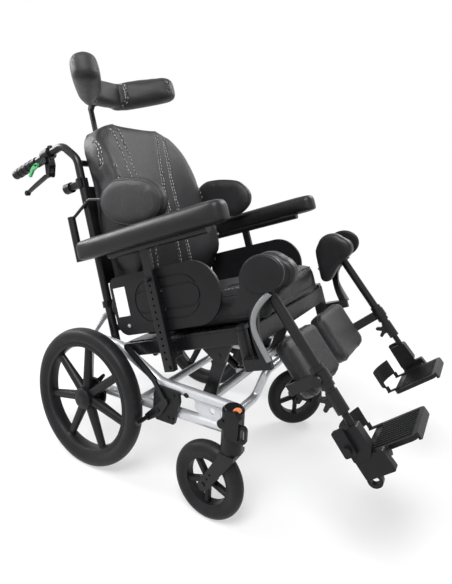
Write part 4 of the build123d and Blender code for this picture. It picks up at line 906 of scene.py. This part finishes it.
class WHEELCHAIR_OT_headrest(bpy.types.Operator):
    """Pads the winged headrest and makes its bracket"""

    bl_idname = "wheelchair.headrest"
    bl_label = "Headrest"

    SEAM_LEFT = 0.066
    SEAM_ENDS = (0.985, 0.88)
    MIDDLE_UP = 0.925
    WING_START = 0.05
    MIDDLE_SWELL = 0.003
    WING_SWELL = 0.02
    WING_SLIMMING = 0.22
    SOFT = {"voxel": 0.006, "drawn_in": 0.0, "cap": 0.008, "soften": 8, "pressure": 3.0}

    def execute(self, context):
        node = "headrest_pad"
        piece = cushion_from(node, "headrest_padded", form=self.form, **self.SOFT)
        bracket = merged_copy(node, "headrest_bracket")
        self.cut(bracket, clear_outer=True)
        smooth_by(bracket, CRISP)
        dress(bracket, node, "black_metal")
        runs = []
        for left in (-self.SEAM_LEFT, self.SEAM_LEFT):
            points = [on_seat(-0.3, left, up) for up in self.SEAM_ENDS]
            runs.append(laid_on(piece, points, -SEAT_FORWARD))
        stitched(piece, runs, context.scene.wheelchair_sizes, node)
        pad_done(piece, node)
        return {"FINISHED"}

    def cut(self, piece, **side):
        """Parts the pad from its bracket and keeps one of them."""
        edit(piece)
        plane = {"plane_co": on_seat(-0.434, 0.0, 0.93), "plane_no": SEAT_FORWARD}
        bpy.ops.mesh.bisect(use_fill=True, **plane, **side)
        close_edit()

    def form(self, piece):
        """Leaves the bracket off and makes the wings wide, thick and rounded."""
        self.cut(piece, clear_inner=True)
        modifier(piece, "REMESH", mode="VOXEL", voxel_size=0.006)
        middle = on_seat(-0.432, 0.0, 0.931)
        stretch(piece, centre=middle, factors=(0.98, 1.1, 0.96), lean=SEAT_LEAN)
        normals = [vertex.normal.copy() for vertex in piece.data.vertices]
        for vertex, normal in zip(piece.data.vertices, normals):
            out = (abs(vertex.co.y) - self.WING_START) / self.WING_START
            wing = min(max(out, 0.0), 1.0)
            vertex.co = vertex.co + normal * (self.MIDDLE_SWELL + self.WING_SWELL * wing)
            rise = (vertex.co - SEAT_ORIGIN).dot(SEAT_UP) - self.MIDDLE_UP
            vertex.co = vertex.co - SEAT_UP * (rise * self.WING_SLIMMING * wing)
        piece.data.update()


def welts(kind, hand):
    """Where welts run round a side pad: a point and a normal each."""
    if kind == "lateral_pad":
        return [(hand * LEFTWARD * reach, LEFTWARD) for reach in (0.238, 0.262)]
    if kind == "calf_pad":
        return [(on_leg(-0.084, 0.0, 0.2), LEG_FORWARD)]
    if kind == "knee_pad":
        return [(hand * LEFTWARD * (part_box("knee_pad_left")[1].y - 0.01), LEFTWARD)]
    return []


class WHEELCHAIR_OT_side_pads(bpy.types.Operator):
    """Pads the lateral, calf, knee and arm pads, each modelled once and mirrored"""

    bl_idname = "wheelchair.side_pads"
    bl_label = "Side pads"

    # centre, stretch along, across and up, lean of the frame, and shift of each kind of pad
    LATERAL_LEAN = SEAT_LEAN - math.radians(15)
    FORMS = {
        "lateral_pad": (
            on_seat(-0.168, -0.247, 0.469), (1.14, 1.1, 1.32), LATERAL_LEAN, (0.008, 0.0, -0.006)
        ),
        "calf_pad": (on_leg(-0.09, -0.232, 0.223), (1.2, 1.25, 1.0), LEG_LEAN),
        "knee_pad": (on_seat(0.22, -0.268, 0.16), (1.22, 1.3, 1.05), SEAT_LEAN),
        "arm_pad": (on_seat(-0.09, -0.302, 0.389), (1.0, 1.06, 1.3), SEAT_LEAN),
    }
    # kind, material slot and softening, and what all kinds share
    KINDS = (
        ("lateral_pad", "upholstery", 8),
        ("calf_pad", "upholstery", 8),
        ("knee_pad", "pad_foam", 6),
        ("arm_pad", "pad_foam", 4),
    )
    SOFT = {"voxel": 0.005, "drawn_in": 0.001, "cap": 0.003, "pressure": 2.0}

    def execute(self, context):
        for kind, slot, soften in self.KINDS:
            form = partial(self.form, kind=kind)
            name = kind + "_right"
            right = cushion_from(name, name + "_padded", soften=soften, form=form, **self.SOFT)
            left = bpy.data.objects.new(kind + "_left_padded", right.data.copy())
            context.scene.collection.objects.link(left)
            left.scale.y = -1.0
            settle(left)
            edit(left)
            bpy.ops.mesh.normals_make_consistent(inside=False)
            close_edit()
            for piece, (side, hand) in zip((right, left), SIDES):
                node = f"{kind}_{side}"
                for number, (point, normal) in enumerate(welts(kind, hand)):
                    line = welt(piece, f"{node}_welt_{number}", point, normal, radius=0.0016)
                    dress(line, body_of(node), slot)
                pad_done(piece, node, slot=slot)
        return {"FINISHED"}

    def form(self, piece, kind):
        """Gives a pad its full size, and the lateral pad its oval outline."""
        stretch(piece, *self.FORMS[kind])
        if kind == "lateral_pad":
            modifier(piece, "REMESH", mode="VOXEL", voxel_size=0.006)
            centre, reach = on_seat(-0.16, -0.247, 0.463), (0.126, 0.077)
            ovalise(piece, centre, reach, self.LATERAL_LEAN, share=0.75)


class WHEELCHAIR_OT_straps(bpy.types.Operator):
    """Makes the pelvic belt and the heel straps from woven webbing"""

    bl_idname = "wheelchair.straps"
    bl_label = "Straps"

    def execute(self, context):
        for node in ("pelvic_belt", "heel_strap_right", "heel_strap_left"):
            piece = merged_copy(node, node + "_woven")
            modifier(piece, "BEVEL", width=0.0006, segments=2, limit_method="ANGLE")
            smooth_by(piece, SOFT_EDGE)
            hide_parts(node)
            dress(piece, body_of(node), "webbing")
        return {"FINISHED"}


class WHEELCHAIR_OT_fittings(bpy.types.Operator):
    """Adds screws, hole plugs, markers, blank labels, knee caps and cast arcs"""

    bl_idname = "wheelchair.fittings"
    bl_label = "Fittings"

    # node, body, screw or plug, slot, where it is measured from, and the places there
    FIXINGS = (
        ("skirt_guards", "seat", "screw", "bright_steel", on_seat,
         ((-0.112, 0.2), (-0.112, 0.15), (-0.25, 0.12))),
        ("arm_sockets", "seat", "screw", "bright_steel", on_seat, ((-0.122, 0.02), (-0.122, 0.06))),
        ("base_frame", "base", "plug", "black_plastic", base_point,
         ((0.2, 0.2), (0.31, 0.2), (0.2, 0.29), (0.33, 0.29))),
        ("parking_brake_mounts", "base", "screw", "bright_steel", base_point,
         ((0.185, 0.25), (0.205, 0.25), (0.185, 0.225))),
    )
    ARC = ((0.232, 0.15), (0.196, 0.13), (0.172, 0.1), (0.17, 0.062), (0.182, 0.028), (0.191, 0.0))

    def execute(self, context):
        heads = {
            "screw": screw_mesh(radius=0.0055, height=0.0035),
            "plug": screw_mesh(radius=0.0075, height=0.002),
        }
        for side, hand in SIDES:
            out = LEFTWARD * hand
            for node, body, head, slot, origin, spots in self.FIXINGS:
                surface = tree_of(frame["nodes"][node])
                places = []
                for forward, up in spots:
                    outside = origin(forward, hand * OUTSIDE, up)
                    found, normal, _, _ = surface.ray_cast(outside, -out)
                    if found is not None:
                        places.append(Matrix.Translation(found) @ aim(normal))
                if places:
                    piece = from_parts(f"{node}_screws_{side}", heads[head], places)
                    dress(piece, body, slot)
            self.label(side, hand)
            self.arc(side, hand)
            self.knee_cap(side, hand)
            self.marker(side, hand)
        return {"FINISHED"}

    def label(self, side, hand):
        """A blank pale plate on the rear of the side guard."""
        proud = 0.0004
        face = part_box("skirt_guards")[1].y + proud
        bpy.ops.mesh.primitive_cube_add(size=1.0, scale=(0.046, 0.0008, 0.084))
        piece = bpy.context.active_object
        piece.name = f"blank_label_{side}"
        settle(piece)
        modifier(piece, "BEVEL", width=0.0035, segments=3, affect="EDGES")
        turned = Matrix.Rotation(-SEAT_LEAN, 4, "Y")
        move(piece, Matrix.Translation(on_seat(-0.262, hand * face, 0.19)) @ turned)
        dress(piece, "seat", "black_plastic", "label")

    def arc(self, side, hand):
        """The grey cast arc on the legrest's hanger: a squashed bar along a curve."""
        squash = 0.6
        curve = bpy.data.curves.new(f"legrest_arc_{side}", "CURVE")
        curve.dimensions = "3D"
        line = curve.splines.new("NURBS")
        line.points.add(len(self.ARC) - 1)
        for corner, (forward, up) in zip(line.points, self.ARC):
            point = on_seat(forward, 0.0, up)
            corner.co = (point.x, 0.0, point.z, 1.0)
        line.order_u = 4
        line.use_endpoint_u = True
        line.resolution_u = 8
        curve.bevel_depth = 0.0075
        curve.bevel_resolution = 4
        curve.use_fill_caps = True
        piece = bpy.data.objects.new(curve.name, curve)
        bpy.context.scene.collection.objects.link(piece)
        pick(piece)
        bpy.ops.object.convert(target="MESH")
        piece = bpy.context.active_object
        piece.scale.y = squash
        piece.location.y = hand * HANGER_FACE
        settle(piece)
        smooth_by(piece, ROUNDED_EDGE)
        dress(piece, f"hanger_{side}", "grey_plastic")

    def knee_cap(self, side, hand):
        """The black cap over the knee joint."""
        cap = drum(f"knee_cap_{side}", vertices=64, scale=(0.054, 0.044, 0.016))
        modifier(cap, "BEVEL", width=0.006, segments=4, limit_method="ANGLE")
        smooth_by(cap, ROUNDED_EDGE)
        across = SEAT_FORWARD.cross(SEAT_UP)
        turned = Matrix((SEAT_FORWARD, SEAT_UP, across)).transposed().to_4x4()
        move(cap, Matrix.Translation(on_seat(0.226, hand * HANGER_FACE, 0.196)) @ turned)
        dress(cap, f"hanger_{side}", "black_plastic")

    def marker(self, side, hand):
        """The plain oval tie-down marker on the front cover."""
        near = Vector((0.2586, hand * 0.254, 0.3497))
        spot, normal, _, _ = tree_of(frame["nodes"]["front_covers"]).find_nearest(near)
        piece = drum(f"tie_down_marker_{side}", vertices=32, scale=(0.011, 0.008, 0.0016))
        move(piece, Matrix.Translation(spot) @ aim(normal))
        dress(piece, "base", "black_plastic", "marker")


class WHEELCHAIR_OT_stage(bpy.types.Operator):
    """Sets the floor, the soft lamps, the pale surroundings and the camera"""

    bl_idname = "wheelchair.stage"
    bl_label = "Stage"

    # name, place, width and share of the main lamp's power
    LAMPS = (
        ("lamp_main", (0.6, -2.0, 3.0), 1.7, 1.0),
        ("lamp_side", (-2.6, -0.8, 1.9), 1.5, 0.6),
        ("lamp_rear", (0.9, 2.4, 2.6), 1.6, 0.5),
    )
    # the camera fitted to the photo: place in metres, lengths in pixels
    CAMERA_PLACE = Vector((0.7637, -1.196, 0.8739))
    PICTURE_HEIGHT = 584.0
    FOCAL_LENGTH = 443.39
    SHIFT = -73.03
    SENSOR = 36.0

    def execute(self, context):
        bpy.ops.object.select_all(action="DESELECT")
        bpy.ops.mesh.primitive_circle_add(vertices=96, radius=14.0, fill_type="NGON")
        floor = context.active_object
        floor.name = "floor"
        floor.data.materials.append(self.floor_finish())
        self.surroundings(context.scene)
        self.lamps(context)
        self.camera(context)
        context.scene.view_settings.view_transform = "Standard"
        return {"FINISHED"}

    def floor_finish(self):
        finish = Finish("Floor", (0.9, 0.9, 0.9), 0.6, specular_ior_level=0.15)
        spot = finish.place(origin=(0.1, 0.0, 0.0))
        across, along, _ = finish.axes(spot)
        reach = (across * across + along * along) ** 0.5
        inner, span, least = 0.75, 0.9, 0.55
        fade = ((reach - inner) / span).clip() * (1.0 - least) + least
        seen = finish.node("LightPath", output=0).largest(finish.node("LightPath", output=3))
        glow = finish.tree.nodes.new("ShaderNodeEmission")
        glow.inputs[0].default_value = (1.0, 1.0, 1.0, 1.0)
        mixed = finish.tree.nodes.new("ShaderNodeMixShader")
        finish.tree.links.new((fade * seen).socket, mixed.inputs[0])
        finish.tree.links.new(finish.shader.outputs[0], mixed.inputs[1])
        finish.tree.links.new(glow.outputs[0], mixed.inputs[2])
        finish.tree.links.new(mixed.outputs[0], finish.output.inputs[0])
        return finish.material

    def surroundings(self, scene):
        world = bpy.data.worlds.new("Surroundings")
        world.use_nodes = True
        scene.world = world
        tree = world.node_tree
        sky = tree.nodes["Background"]
        sky.inputs[0].default_value = (1.0, 1.0, 1.0, 1.0)
        path = tree.nodes.new("ShaderNodeLightPath")
        seen = Value(tree, path.outputs[0]).largest(Value(tree, path.outputs[3]))
        strength = seen * 0.8 + 0.2
        tree.links.new(strength.socket, sky.inputs[1])

    def lamps(self, context):
        aim_point = Vector((0.0, 0.0, 0.6))
        for name, place, width, share in self.LAMPS:
            data = bpy.data.lights.new(name, "AREA")
            data.shape = "DISK"
            data.size = width
            data.energy = context.scene.wheelchair_sizes.lamp_power * share
            lamp = bpy.data.objects.new(name, data)
            context.scene.collection.objects.link(lamp)
            lamp.location = place
            ahead = aim_point - Vector(place)
            lamp.rotation_euler = ahead.to_track_quat("-Z", "Y").to_euler()

    def camera(self, context):
        yaw, dip, roll = math.radians(120.757), math.radians(5.681), 0.04627
        level = math.cos(dip)
        ahead = Vector((math.cos(yaw) * level, math.sin(yaw) * level, -math.sin(dip)))
        flat_right = Vector((math.sin(yaw), -math.cos(yaw), 0.0))
        flat_up = flat_right.cross(ahead)
        right = flat_right * math.cos(roll) + flat_up * math.sin(roll)
        up = flat_up * math.cos(roll) - flat_right * math.sin(roll)
        data = bpy.data.cameras.new("camera")
        data.sensor_fit = "AUTO"
        data.sensor_width = self.SENSOR
        data.lens = self.FOCAL_LENGTH / self.PICTURE_HEIGHT * self.SENSOR
        data.shift_y = self.SHIFT / self.PICTURE_HEIGHT
        camera = bpy.data.objects.new("camera", data)
        context.scene.collection.objects.link(camera)
        turned = Matrix((right, up, -ahead)).transposed().to_4x4()
        camera.matrix_world = Matrix.Translation(self.CAMERA_PLACE) @ turned
        context.scene.camera = camera


class WHEELCHAIR_PT_parts(bpy.types.Panel):
    """Lists the steps that build the wheelchair."""

    bl_label = "Wheelchair"
    bl_space_type = "VIEW_3D"
    bl_region_type = "UI"
    bl_category = "Wheelchair"

    def draw(self, context):
        for step in STEPS:
            self.layout.operator(step.bl_idname)
        for group in (context.scene.wheelchair_colours, context.scene.wheelchair_sizes):
            for key in group.bl_rna.properties.keys():
                if key not in {"rna_type", "name"}:
                    self.layout.prop(group, key)


STEPS = (
    WHEELCHAIR_OT_rigid,
    WHEELCHAIR_OT_seat_cushion,
    WHEELCHAIR_OT_back_cushion,
    WHEELCHAIR_OT_headrest,
    WHEELCHAIR_OT_side_pads,
    WHEELCHAIR_OT_straps,
    WHEELCHAIR_OT_fittings,
    WHEELCHAIR_OT_stage,
)
CLASSES = (WheelchairColours, WheelchairSizes, *STEPS, WHEELCHAIR_PT_parts)


def register():
    for kind in CLASSES:
        bpy.utils.register_class(kind)
    bpy.types.Scene.wheelchair_colours = bpy.props.PointerProperty(type=WheelchairColours)
    bpy.types.Scene.wheelchair_sizes = bpy.props.PointerProperty(type=WheelchairSizes)


def unregister():
    del bpy.types.Scene.wheelchair_sizes
    del bpy.types.Scene.wheelchair_colours
    for kind in reversed(CLASSES):
        bpy.utils.unregister_class(kind)


def main():
    """Builds the wheelchair step by step."""
    register()
    bpy.ops.wheelchair.rigid()
    bpy.ops.wheelchair.seat_cushion()
    bpy.ops.wheelchair.back_cushion()
    bpy.ops.wheelchair.headrest()
    bpy.ops.wheelchair.side_pads()
    bpy.ops.wheelchair.straps()
    bpy.ops.wheelchair.fittings()
    bpy.ops.wheelchair.stage()


if __name__ == "__main__":
    main()
